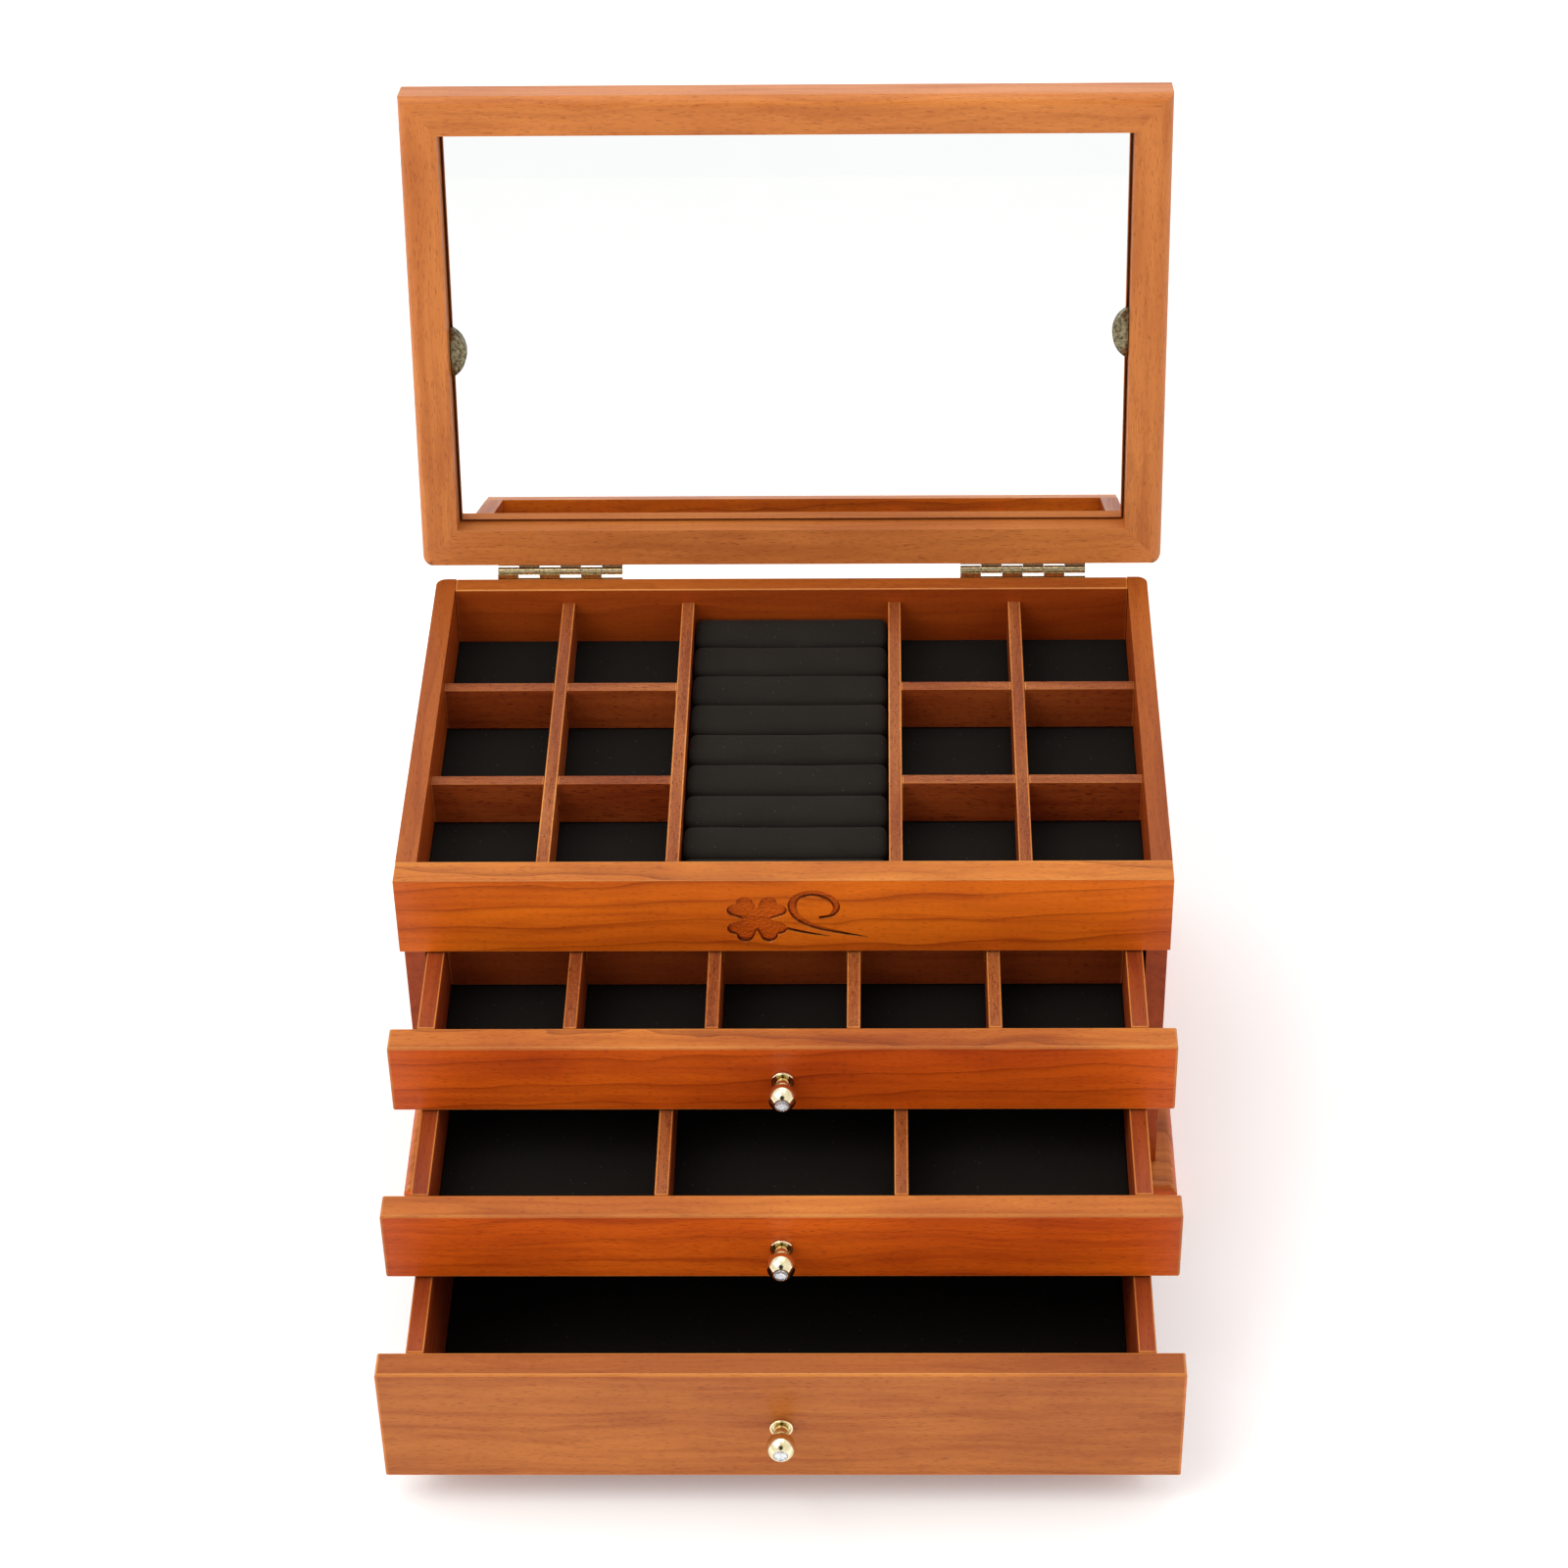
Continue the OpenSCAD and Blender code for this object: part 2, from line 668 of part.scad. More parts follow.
module middle_drawer_dividers() {
    color(timber_light) placed(middle_drawer) for (x = divider_xs(2))
        long_divider(x, 0, box_in_d, lining_top(middle_drawer), front_z1(middle_drawer));
}

// Turned knob, drawn along +Z from the drawer front
module knob_body() {
    bead_z = 5.5;
    bead_r = 0.8;
    lip_r = 0.45;
    lip_z = 1.1;
    difference() {
        rotate_extrude() intersection() {
            union() {
                square([flange_r, lip_z - lip_r]);
                translate([flange_r - 2 * lip_r, 0]) square([2 * lip_r, lip_z]);
                translate([flange_r - lip_r, lip_z]) circle(r = lip_r);
                square([neck_r, ball_y]);
                translate([neck_r, bead_z]) circle(r = bead_r);
                intersection() {
                    translate([0, ball_y]) circle(r = ball_r);
                    square([ball_r + 1, knob_len]);
                }
            }
            square([ball_r + 1, knob_len]);
        }
        translate([0, 0, -1]) cylinder(r = knob_screw_r + knob_thread_clear, h = knob_bore_len + 1);
        translate([0, 0, knob_len - seat_depth]) cylinder(r = crystal_r + 0.1, h = seat_depth + 1);
    }
}

module on_front(drawer) {
    placed(drawer) translate([0, -front_t, knob_z(drawer)]) rotate([90, 0, 0]) children();
}

module drawer_knob(drawer) {
    color(polished_brass) on_front(drawer) knob_body();
}

// Brilliant-cut crystal: girdle, eight-sided crown and flat table
module drawer_crystal(drawer) {
    crown_h = 1.3;
    color("lightcyan") on_front(drawer) translate([0, 0, knob_len - seat_depth]) {
        cylinder(r = crystal_r, h = seat_depth, $fn = 48);
        translate([0, 0, seat_depth - eps])
            cylinder(r1 = crystal_r, r2 = crystal_r * 0.55, h = crown_h, $fn = 8);
    }
}

module drawer_knob_screw(drawer) {
    color("silver") placed(drawer) translate([0, 0, knob_z(drawer)]) rotate([90, 0, 0]) {
        cylinder(r = knob_head_r, h = knob_head_h - eps);
        cylinder(r = knob_screw_r, h = front_t + knob_bore_len - 1);
    }
}

base_plinth();
side_panel(-1);  // left_side
side_panel(1);  // right_side
back_panel();
front_rail();
shelf(upper_shelf_z);  // upper_shelf
shelf(lower_shelf_z);  // lower_shelf
tray_board();
tray_lining();
tray_bay_dividers();
tray_long_dividers();
tray_cross_dividers();
ring_cushion();
hinge_case_leaf(-1);  // left_hinge_case_leaf
hinge_case_leaf(1);  // right_hinge_case_leaf
hinge_lid_leaf(-1);  // left_hinge_lid_leaf
hinge_lid_leaf(1);  // right_hinge_lid_leaf
hinge_pins();
case_hinge_screws();
lid_hinge_screws();
lid_front_rail();
lid_back_rail();
lid_stile(-1);  // lid_left_stile
lid_stile(1);  // lid_right_stile
lid_panel();
mirror_card();
mirror_glass();  // mirror
mirror_clip(-1, left_clip_y);  // left_mirror_clip
mirror_clip(1, right_clip_y);  // right_mirror_clip
drawer_front(top_drawer);  // top_drawer_front
drawer_side_wall(top_drawer, -1);  // top_drawer_left_wall
drawer_side_wall(top_drawer, 1);  // top_drawer_right_wall
drawer_back_wall(top_drawer);  // top_drawer_back_wall
drawer_floor(top_drawer);  // top_drawer_floor
drawer_lining(top_drawer);  // top_drawer_lining
top_drawer_long_dividers();
top_drawer_cross_dividers();
drawer_knob(top_drawer);  // top_drawer_knob
drawer_crystal(top_drawer);  // top_drawer_crystal
drawer_knob_screw(top_drawer);  // top_drawer_knob_screw
drawer_front(middle_drawer);  // middle_drawer_front
drawer_side_wall(middle_drawer, -1);  // middle_drawer_left_wall
drawer_side_wall(middle_drawer, 1);  // middle_drawer_right_wall
drawer_back_wall(middle_drawer);  // middle_drawer_back_wall
drawer_floor(middle_drawer);  // middle_drawer_floor
drawer_lining(middle_drawer);  // middle_drawer_lining
middle_drawer_dividers();
drawer_knob(middle_drawer);  // middle_drawer_knob
drawer_crystal(middle_drawer);  // middle_drawer_crystal
drawer_knob_screw(middle_drawer);  // middle_drawer_knob_screw
drawer_front(bottom_drawer);  // bottom_drawer_front
drawer_side_wall(bottom_drawer, -1);  // bottom_drawer_left_wall
drawer_side_wall(bottom_drawer, 1);  // bottom_drawer_right_wall
drawer_back_wall(bottom_drawer);  // bottom_drawer_back_wall
drawer_floor(bottom_drawer);  // bottom_drawer_floor
drawer_lining(bottom_drawer);  // bottom_drawer_lining
drawer_knob(bottom_drawer);  // bottom_drawer_knob
drawer_crystal(bottom_drawer);  // bottom_drawer_crystal
drawer_knob_screw(bottom_drawer);  // bottom_drawer_knob_screw
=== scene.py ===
import json
import math

import bmesh
import bpy
from mathutils import Matrix, Vector, noise


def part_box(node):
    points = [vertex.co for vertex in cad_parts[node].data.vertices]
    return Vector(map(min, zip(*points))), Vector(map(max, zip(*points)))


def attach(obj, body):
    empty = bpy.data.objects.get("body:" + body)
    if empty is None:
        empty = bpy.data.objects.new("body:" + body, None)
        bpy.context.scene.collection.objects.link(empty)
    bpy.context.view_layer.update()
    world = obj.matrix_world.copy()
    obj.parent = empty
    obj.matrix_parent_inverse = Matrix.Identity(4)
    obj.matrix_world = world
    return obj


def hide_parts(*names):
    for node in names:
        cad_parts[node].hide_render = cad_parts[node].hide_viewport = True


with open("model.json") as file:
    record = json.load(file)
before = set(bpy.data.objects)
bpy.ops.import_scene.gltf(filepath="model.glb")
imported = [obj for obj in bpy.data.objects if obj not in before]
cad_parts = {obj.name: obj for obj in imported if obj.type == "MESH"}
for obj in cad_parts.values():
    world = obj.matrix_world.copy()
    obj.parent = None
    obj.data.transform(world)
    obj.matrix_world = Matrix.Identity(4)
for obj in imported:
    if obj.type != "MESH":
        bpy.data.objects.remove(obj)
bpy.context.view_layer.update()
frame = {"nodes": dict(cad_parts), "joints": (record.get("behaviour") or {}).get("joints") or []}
nodes = frame["nodes"]
mm = 0.001
lidAngle = 103.5  # degrees from closed to open
drawers = ("top_drawer", "middle_drawer", "bottom_drawer")
print("frame loaded:", len(nodes), "nodes")


def linearRgb(code):
    parts = [int(code[i : i + 2], 16) / 255 for i in (1, 3, 5)]
    return [*(c / 12.92 if c <= 0.04045 else ((c + 0.055) / 1.055) ** 2.4 for c in parts), 1.0]


def addNode(tree, kind, settings=None, links=None):
    made = tree.nodes.new(kind)
    for key, value in (settings or {}).items():
        if isinstance(key, str) and hasattr(made, key):
            setattr(made, key, value)
        else:
            made.inputs[key].default_value = value
    for key, source in (links or {}).items():
        tree.links.new(source, made.inputs[key])
    return made


def newMaterial(name, surface):
    material = bpy.data.materials.new(name)
    material.use_nodes = True
    tree = material.node_tree
    tree.nodes.clear()
    shader = addNode(tree, "ShaderNodeBsdfPrincipled", surface)
    addNode(tree, "ShaderNodeOutputMaterial", None, {"Surface": shader.outputs[0]})
    return material, tree, shader


# Camera: place in metres, angles in degrees, lens in millimetres
view = {
    "place": (37.6 * mm, -1198.2 * mm, 1105.5 * mm),
    "pitchDown": 38.97,
    "turn": 1.15,
    "roll": -0.88,
    "lens": 89.6,
    "sensor": 36,
    "shift": (-0.0249, 0.0034),
}
cameraData = bpy.data.cameras.new("camera")
cameraData.lens = view["lens"]
cameraData.sensor_width = view["sensor"]
cameraData.shift_x, cameraData.shift_y = view["shift"]
camera = bpy.data.objects.new("camera", cameraData)
bpy.context.scene.collection.objects.link(camera)
camera.matrix_world = (
    Matrix.Translation(view["place"])
    @ Matrix.Rotation(math.radians(view["turn"]), 4, "Z")
    @ Matrix.Rotation(math.radians(90 - view["pitchDown"]), 4, "X")
    @ Matrix.Rotation(math.radians(view["roll"]), 4, "Z")
)
bpy.context.scene.camera = camera

# White cyclorama with one dark place behind the camera, and two softboxes
studio = {
    "sky": 1.0,
    "darkLevel": 0.02,
    # cosines of the angles where the dark place starts and is full
    "darkFrom": 0.93,
    "darkTo": 0.975,
    "softboxes": [
        # name, place, aim, size, watts
        ("key", (-1.2, -0.7, 1.9), (0, 0, 0.1), 1.7, 20),
        ("overhead", (0.1, 0.5, 2.0), (0, 0, 0.1), 1.6, 9),
    ],
}
bpy.context.scene.view_settings.view_transform = "Standard"
world = bpy.data.worlds.new("studio")
world.use_nodes = True
sky = world.node_tree.nodes["Background"]
sky.inputs["Strength"].default_value = studio["sky"]
skyAt = addNode(world.node_tree, "ShaderNodeTexCoord")
towardLens = addNode(
    world.node_tree,
    "ShaderNodeVectorMath",
    {"operation": "DOT_PRODUCT", 1: Vector(view["place"]).normalized()},
    {0: skyAt.outputs["Generated"]},
)
dark = addNode(
    world.node_tree,
    "ShaderNodeMapRange",
    {
        "From Min": studio["darkFrom"],
        "From Max": studio["darkTo"],
        "To Min": 1.0,
        "To Max": studio["darkLevel"],
    },
    {"Value": towardLens.outputs["Value"]},
)
world.node_tree.links.new(dark.outputs[0], sky.inputs["Color"])
bpy.context.scene.world = world
for name, place, aim, size, watts in studio["softboxes"]:
    lamp = bpy.data.lights.new(name, "AREA")
    lamp.size = size
    lamp.energy = watts
    holder = bpy.data.objects.new(name, lamp)
    holder.location = place
    holder.rotation_euler = (Vector(aim) - Vector(place)).to_track_quat("-Z", "Y").to_euler()
    bpy.context.scene.collection.objects.link(holder)
print("camera and light set")

# Stained and lacquered hardwood: even warm ground, long fine fibres, thin dark year lines,
# short pores. Faces that look up take the top colour: painted light from above.
lacquer = {
    "ior": 1.5,  # cellulose lacquer
    "coatRough": 0.14,
    "roughSpan": (-0.05, 0.07),  # brighter and duller streaks
    "reliefDepth": 0.06 * mm,
    "poreDepth": -0.8,  # share of the relief
}
wander = {"long": 70, "wide": 18}  # slow wander of the grain, mm
grainPatterns = {
    # length and width in mm, noise detail, noise roughness, follows the wander
    "patch": (90, 45, 2.0, 0.5, False),  # where the stain took more
    "streak": (160, 4, 3.0, 0.55, True),
    "fibre": (30, 0.5, 4.0, 0.6, True),  # drawn a little coarse so that the fibres show
    "pore": (3, 0.28, 1.0, 0.4, False),
}
# noise values where each pattern starts and is full
maskSpan = {
    "patch": (0.35, 0.7),
    "streak": (0.42, 0.7),
    "fibre": (0.48, 0.72),
    "pore": (0.60, 0.72),
    "speck": (0.36, 0.5),
    "paintedWallShade": (0.2, 0.5),
    "all": (0.0, 1.0),
}
seedStep = (37.0, 11.0, 7.0)  # mm that a board moves through the pattern for each unit of its seed
speckMm = 0.7
speckGain = (1.5, 1.6, 1.7, 1.0)


def stainedWood(name, look):
    surface = {
        "IOR": lacquer["ior"],
        "Specular IOR Level": look["sheen"],
        "Coat Weight": look["lacquer"],
        "Coat Roughness": lacquer["coatRough"],
        "Coat IOR": lacquer["ior"],
    }
    material, tree, shader = newMaterial(name, surface)
    coords = addNode(tree, "ShaderNodeTexCoord")
    # to millimetres, with the lid's tilt undone, then the grain laid along X
    tilt = math.radians(lidAngle) if look["onLid"] else 0
    level = addNode(
        tree,
        "ShaderNodeMapping",
        {"Scale": (1 / mm,) * 3, "Rotation": (tilt, 0, 0)},
        {"Vector": coords.outputs["Object"]},
    )
    turn = {"X": (0, 0, 0), "Y": (0, 0, math.radians(-90))}[look["grain"]]
    board = addNode(
        tree,
        "ShaderNodeMapping",
        {"Rotation": turn, "Location": [look["seed"] * step for step in seedStep]},
        {"Vector": level.outputs[0]},
    )
    wanderAt = addNode(
        tree,
        "ShaderNodeMapping",
        {"Scale": (1 / wander["long"], 1 / wander["wide"], 1 / wander["wide"])},
        {"Vector": board.outputs[0]},
    )
    wandering = addNode(
        tree,
        "ShaderNodeTexNoise",
        {"Scale": 1.0, "Detail": 2.0, "Roughness": 0.5},
        {"Vector": wanderAt.outputs[0]},
    )
    pushed = addNode(
        tree,
        "ShaderNodeVectorMath",
        {"operation": "MULTIPLY_ADD", 1: (0, look["wander"], look["wander"])},
        {0: wandering.outputs["Color"], 2: board.outputs[0]},
    )
    # year rings about a pith line that lies a little off and a little skew to the board
    pith = addNode(
        tree,
        "ShaderNodeMapping",
        {
            "Location": (0, look["pithOff"][0], look["pithOff"][1]),
            "Rotation": (0, math.radians(look["pithSkew"][0]), math.radians(look["pithSkew"][1])),
        },
        {"Vector": pushed.outputs[0]},
    )
    rings = addNode(
        tree,
        "ShaderNodeTexWave",
        {
            "wave_type": "RINGS",
            "rings_direction": "X",
            "wave_profile": "SAW",
            "Scale": math.tau / 20 / look["ringMm"],  # at scale 1 the rings are tau / 20 apart
            "Distortion": 0.6,
            "Detail": 2.0,
            "Detail Scale": 0.4,
        },
        {"Vector": pith.outputs[0]},
    )
    lateWood = addNode(
        tree,
        "ShaderNodeMath",
        {"operation": "POWER", 1: look["ringSharp"]},
        {0: rings.outputs["Fac"]},
    )
    pattern = {}
    for key, (long, wide, detail, rough, follows) in grainPatterns.items():
        at = addNode(
            tree,
            "ShaderNodeMapping",
            {"Scale": (1 / long, 1 / wide, 1 / wide)},
            {"Vector": (pushed if follows else board).outputs[0]},
        )
        drawn = addNode(
            tree,
            "ShaderNodeTexNoise",
            {"Scale": 1.0, "Detail": detail, "Roughness": rough},
            {"Vector": at.outputs[0]},
        )
        pattern[key] = drawn.outputs["Fac"]
    poreMask = addNode(
        tree,
        "ShaderNodeMapRange",
        {
            "From Min": maskSpan["pore"][0],
            "From Max": maskSpan["pore"][1],
            "To Min": 0.0,
            "To Max": look["pores"],
        },
        {"Value": pattern["pore"]},
    )
    facing = addNode(tree, "ShaderNodeSeparateXYZ", None, {0: coords.outputs["Normal"]})
    # painted light: faces that look up take the top colour, standing in for the light falling on them from
    # above
    paintedTopLightShare = addNode(
        tree,
        "ShaderNodeMapRange",
        {"From Min": 0.4, "From Max": 0.95, "To Min": 0.0, "To Max": look["paintedTopLight"]},
        {"Value": facing.outputs["Z"]},
    )

    # multiplies a stain over what is under it, as far as the mask goes
    def layer(under, mask, span, amount, stain):
        share = addNode(
            tree,
            "ShaderNodeMapRange",
            {"From Min": span[0], "From Max": span[1], "To Min": 0.0, "To Max": amount},
            {"Value": mask},
        )
        settings = {"data_type": "RGBA", "blend_type": "MULTIPLY", 7: stain}
        return addNode(tree, "ShaderNodeMix", settings, {0: share.outputs[0], 6: under}).outputs[2]

    ground = addNode(
        tree,
        "ShaderNodeMix",
        {"data_type": "RGBA", 6: linearRgb(look["base"]), 7: linearRgb(look["top"])},
        {0: paintedTopLightShare.outputs[0]},
    )
    line = linearRgb(look["line"])
    colour = ground.outputs[2]
    colour = layer(colour, pattern["patch"], maskSpan["patch"], look["patchy"], linearRgb(look["patch"]))
    colour = layer(colour, pattern["streak"], maskSpan["streak"], look["streaks"], linearRgb(look["streak"]))
    colour = layer(colour, pattern["fibre"], maskSpan["fibre"], look["fibres"], look["fibreGain"])
    colour = layer(colour, lateWood.outputs[0], maskSpan["all"], look["rings"], line)
    colour = layer(colour, poreMask.outputs[0], maskSpan["all"], 1.0, line)
    if look["specks"]:
        # sanded end fibres that stayed pale
        speck = addNode(
            tree, "ShaderNodeTexNoise", {"Scale": 1 / speckMm, "Detail": 2.0}, {"Vector": level.outputs[0]}
        )
        onTop = addNode(
            tree, "ShaderNodeMath", {"operation": "MULTIPLY"}, {0: speck.outputs["Fac"], 1: paintedTopLightShare.outputs[0]}
        )
        colour = layer(colour, onTop.outputs[0], maskSpan["speck"], look["specks"], speckGain)
    gloss = addNode(
        tree,
        "ShaderNodeMapRange",
        {
            "From Min": 0.3,
            "From Max": 0.7,
            "To Min": look["rough"] + lacquer["roughSpan"][0],
            "To Max": look["rough"] + lacquer["roughSpan"][1],
        },
        {"Value": pattern["streak"]},
    )
    tree.links.new(gloss.outputs[0], shader.inputs["Roughness"])
    # pores and fibres stand under the lacquer by a few hundredths of a millimetre
    relief = addNode(
        tree,
        "ShaderNodeMath",
        {"operation": "MULTIPLY_ADD", 1: lacquer["poreDepth"]},
        {0: poreMask.outputs[0], 2: pattern["fibre"]},
    )
    bump = addNode(
        tree,
        "ShaderNodeBump",
        {"Strength": look["relief"], "Distance": lacquer["reliefDepth"]},
        {"Height": relief.outputs[0]},
    )
    carving = look["carving"]
    if carving:
        # the carving's ground is punched and a little darker; painted shade makes it darkest beside its walls
        place = addNode(tree, "ShaderNodeSeparateXYZ", None, {0: level.outputs[0]})
        inCut = addNode(
            tree,
            "ShaderNodeMapRange",
            {"From Min": carving["from"], "From Max": carving["full"], "To Min": 0.0, "To Max": 1.0},
            {"Value": place.outputs["Y"]},
        )
        onFront = addNode(
            tree, "ShaderNodeMath", {"operation": "LESS_THAN", 1: carving["before"]}, {0: place.outputs["Y"]}
        )
        below = addNode(
            tree, "ShaderNodeMath", {"operation": "LESS_THAN", 1: carving["below"]}, {0: place.outputs["Z"]}
        )
        front = addNode(
            tree, "ShaderNodeMath", {"operation": "MULTIPLY"}, {0: onFront.outputs[0], 1: below.outputs[0]}
        )
        share = addNode(
            tree, "ShaderNodeMath", {"operation": "MULTIPLY"}, {0: inCut.outputs[0], 1: front.outputs[0]}
        )
        # painted shade: ambient occlusion darkens the ground beside the carving's walls
        corner = addNode(
            tree,
            "ShaderNodeAmbientOcclusion",
            {"samples": 8, "only_local": True, "Distance": carving["paintedWallShadeWidth"]},
        )
        paintedWallShade = addNode(tree, "ShaderNodeMath", {"operation": "SUBTRACT", 0: 1.0}, {1: corner.outputs["AO"]})
        paintedWallShadeIn = addNode(
            tree, "ShaderNodeMath", {"operation": "MULTIPLY"}, {0: paintedWallShade.outputs[0], 1: share.outputs[0]}
        )
        colour = layer(colour, share.outputs[0], maskSpan["all"], 1.0, linearRgb(carving["ground"]))
        colour = layer(
            colour, paintedWallShadeIn.outputs[0], maskSpan["paintedWallShade"], carving["paintedWallShadeAmount"], linearRgb(carving["paintedWallShade"])
        )
        punches = addNode(
            tree,
            "ShaderNodeTexVoronoi",
            {"feature": "SMOOTH_F1", "Scale": 1 / carving["punchMm"]},
            {"Vector": level.outputs[0]},
        )
        punched = addNode(
            tree,
            "ShaderNodeMath",
            {"operation": "MULTIPLY"},
            {0: punches.outputs["Distance"], 1: share.outputs[0]},
        )
        bump = addNode(
            tree,
            "ShaderNodeBump",
            {"Strength": 1.0, "Distance": carving["punchDepth"]},
            {"Height": punched.outputs[0], "Normal": bump.outputs[0]},
        )
    tree.links.new(colour, shader.inputs["Base Color"])
    tree.links.new(bump.outputs[0], shader.inputs["Normal"])
    return material


woodLooks = {
    "cherry": {
        "base": "#D65F12",
        # top: painted light, the colour that faces looking up take
        "top": "#C8782F",
        "patch": "#CFAE98",
        "streak": "#CBA68C",
        "line": "#8A5038",
        "fibreGain": (1.16, 1.2, 1.3, 1.0),
        "paintedTopLight": 0.95,  # painted light: how far a face that looks up takes the top colour
        "patchy": 0.9,
        "streaks": 0.6,
        "fibres": 0.7,
        "rings": 0.5,
        "ringMm": 9.0,
        "ringSharp": 9.0,  # higher draws a thinner year line
        "wander": 12.0,  # mm
        "pithOff": (46.0, 16.0),  # mm
        "pithSkew": (1.3, 0.9),  # degrees
        "pores": 0.5,
        "rough": 0.38,
        "sheen": 0.18,
        "lacquer": 0.1,
        "relief": 0.4,
        "specks": 0.0,
        "onLid": False,
        "seed": 0.0,
        "carving": None,
    },
}
woodLooks["carvedRail"] = woodLooks["cherry"] | {
    "base": "#DA6A13",
    "seed": 1.3,
    "pithOff": (-34.0, 12.0),
    "carving": {
        # Y where the cut starts and where its ground is full, mm
        "from": -95.3,
        "full": -94.7,
        # the ground lies in front of this Y and below this Z, mm
        "before": -90.0,
        "below": 168.0,
        "ground": "#EEDCCE",
        "paintedWallShade": "#54281A",
        "paintedWallShadeAmount": 0.95,
        "paintedWallShadeWidth": 1.8 * mm,
        "punchMm": 0.9,
        "punchDepth": 0.5 * mm,
    },
}
woodLooks["cherryTwo"] = woodLooks["cherry"] | {"seed": 3.7, "pithOff": (55.0, 20.0), "rings": 0.25}
woodLooks["palePanel"] = woodLooks["cherry"] | {
    "base": "#B86A2A",
    "top": "#A4591F",
    "streak": "#D6B8A0",
    "line": "#98684C",
    "rings": 0.08,
    "streaks": 0.7,
    "patchy": 0.5,
    "pithOff": (90.0, 60.0),
    "ringMm": 6.0,
    "seed": 4.3,
}
woodLooks["caseBoard"] = woodLooks["cherry"] | {
    "base": "#AC4C15",
    "top": "#A85A20",
    "patchy": 0.6,
    "streaks": 0.45,
    "rings": 0.2,
    "pithOff": (70.0, 40.0),
    "seed": 2.1,
}
# painted light: a paler ground than the other boards, for the open lid leans back toward the lamps
woodLooks["lidFrame"] = woodLooks["cherry"] | {
    "base": "#CA7A3A",
    "top": "#C67A33",
    "paintedTopLight": 0.3,
    "rings": 0.14,
    "streaks": 0.4,
    "patchy": 0.45,
    "pithOff": (60.0, 50.0),
    "onLid": True,
    "seed": 7.7,
}
woodLooks["drawerWall"] = woodLooks["cherry"] | {
    "base": "#A84B1E",
    "top": "#98481F",
    "paintedTopLight": 0.7,
    "rings": 0.15,
    "lacquer": 0.05,
    "rough": 0.45,
    "pores": 0.6,
    "pithOff": (60.0, 30.0),
    "seed": 5.5,
}
woodLooks["dividerSlat"] = woodLooks["drawerWall"] | {
    "base": "#9E4C1E",
    "top": "#9A5C30",
    "specks": 1.0,
    "pores": 0.9,
    "relief": 0.7,
    "fibres": 1.0,
    "seed": 9.2,
}
# painted highlight along the eased edges: a paler copy of the wood on the bevel faces
paintedEdgeHighlight = {
    "base": "#CC7A38",
    "top": "#CC863F",
    "rings": 0.1,
    "streaks": 0.4,
    "pores": 0.3,
    "carving": None,
}

woodParts = [
    # look, grain direction, nodes
    ("carvedRail", "X", ["front_rail"]),
    ("cherry", "X", ["top_drawer_front", "base_plinth"]),
    ("cherryTwo", "X", ["middle_drawer_front"]),
    ("palePanel", "X", ["bottom_drawer_front"]),
    ("caseBoard", "Y", ["left_side", "right_side"]),
    ("caseBoard", "X", ["back_panel", "upper_shelf", "lower_shelf", "tray_board"]),
    ("lidFrame", "X", ["lid_front_rail", "lid_back_rail", "lid_panel"]),
    ("lidFrame", "Y", ["lid_left_stile", "lid_right_stile"]),
    ("drawerWall", "Y", [f"{drawer}_{side}_wall" for drawer in drawers for side in ("left", "right")]),
    ("drawerWall", "X", [f"{drawer}_{part}" for drawer in drawers for part in ("back_wall", "floor")]),
    (
        "dividerSlat",
        "Y",
        ["tray_bay_dividers", "tray_long_dividers", "top_drawer_long_dividers", "middle_drawer_dividers"],
    ),
    ("dividerSlat", "X", ["tray_cross_dividers", "top_drawer_cross_dividers"]),
]
easedEdge = {
    # width by look, mm
    "carvedRail": 0.35,
    "cherry": 0.9,
    "cherryTwo": 0.9,
    "palePanel": 0.9,
    "caseBoard": 0.6,
    "lidFrame": 0.5,
    "drawerWall": 0.5,
    "dividerSlat": 0.5,
    "hinge": 0.12,
    "mirror": 0.4,
}
edgeWork = {
    "hardAngle": 40,  # degrees between two faces
    "near": 0.01 * mm,
    "segments": 3,
    "shortest": 0.45 * mm,  # leaves out hole rims
    "shortestOnRail": 5 * mm,  # leaves out the carving's outline
    "faceWeight": 100,
}


# weights the long hard edges for the bevel and leaves out hole rims, which would hold it back
def markEdges(mesh, shortest):
    made = bmesh.new()
    made.from_mesh(mesh)
    meeting = {}
    for edge in made.edges:
        if edge.is_boundary and edge.calc_length() > shortest:
            ends = tuple(sorted(tuple(round(c / edgeWork["near"]) for c in v.co) for v in edge.verts))
            meeting.setdefault(ends, []).append((edge.index, edge.link_faces[0].normal.copy()))
    made.free()
    weights = mesh.attributes.new("bevel_weight_edge", "FLOAT", "EDGE")
    for sides in meeting.values():
        if len(sides) == 2 and sides[0][1].angle(sides[1][1]) > math.radians(edgeWork["hardAngle"]):
            for index, _ in sides:
                weights.data[index].value = 1.0


def easeEdges(piece, width, highlightWood=None, shortest=edgeWork["shortest"]):
    markEdges(piece.data, shortest)
    weld = piece.modifiers.new("weld", "WELD")
    weld.merge_threshold = edgeWork["near"]
    bevel = piece.modifiers.new("easedEdges", "BEVEL")
    bevel.width = width * mm
    bevel.segments = edgeWork["segments"]
    bevel.limit_method = "WEIGHT"
    bevel.harden_normals = True
    # painted highlight: the bevel faces take the paler copy of the wood
    if highlightWood:
        piece.data.materials.append(highlightWood)
        bevel.material = len(piece.data.materials) - 1
    normals = piece.modifiers.new("normals", "WEIGHTED_NORMAL")
    normals.keep_sharp = True
    normals.weight = edgeWork["faceWeight"]


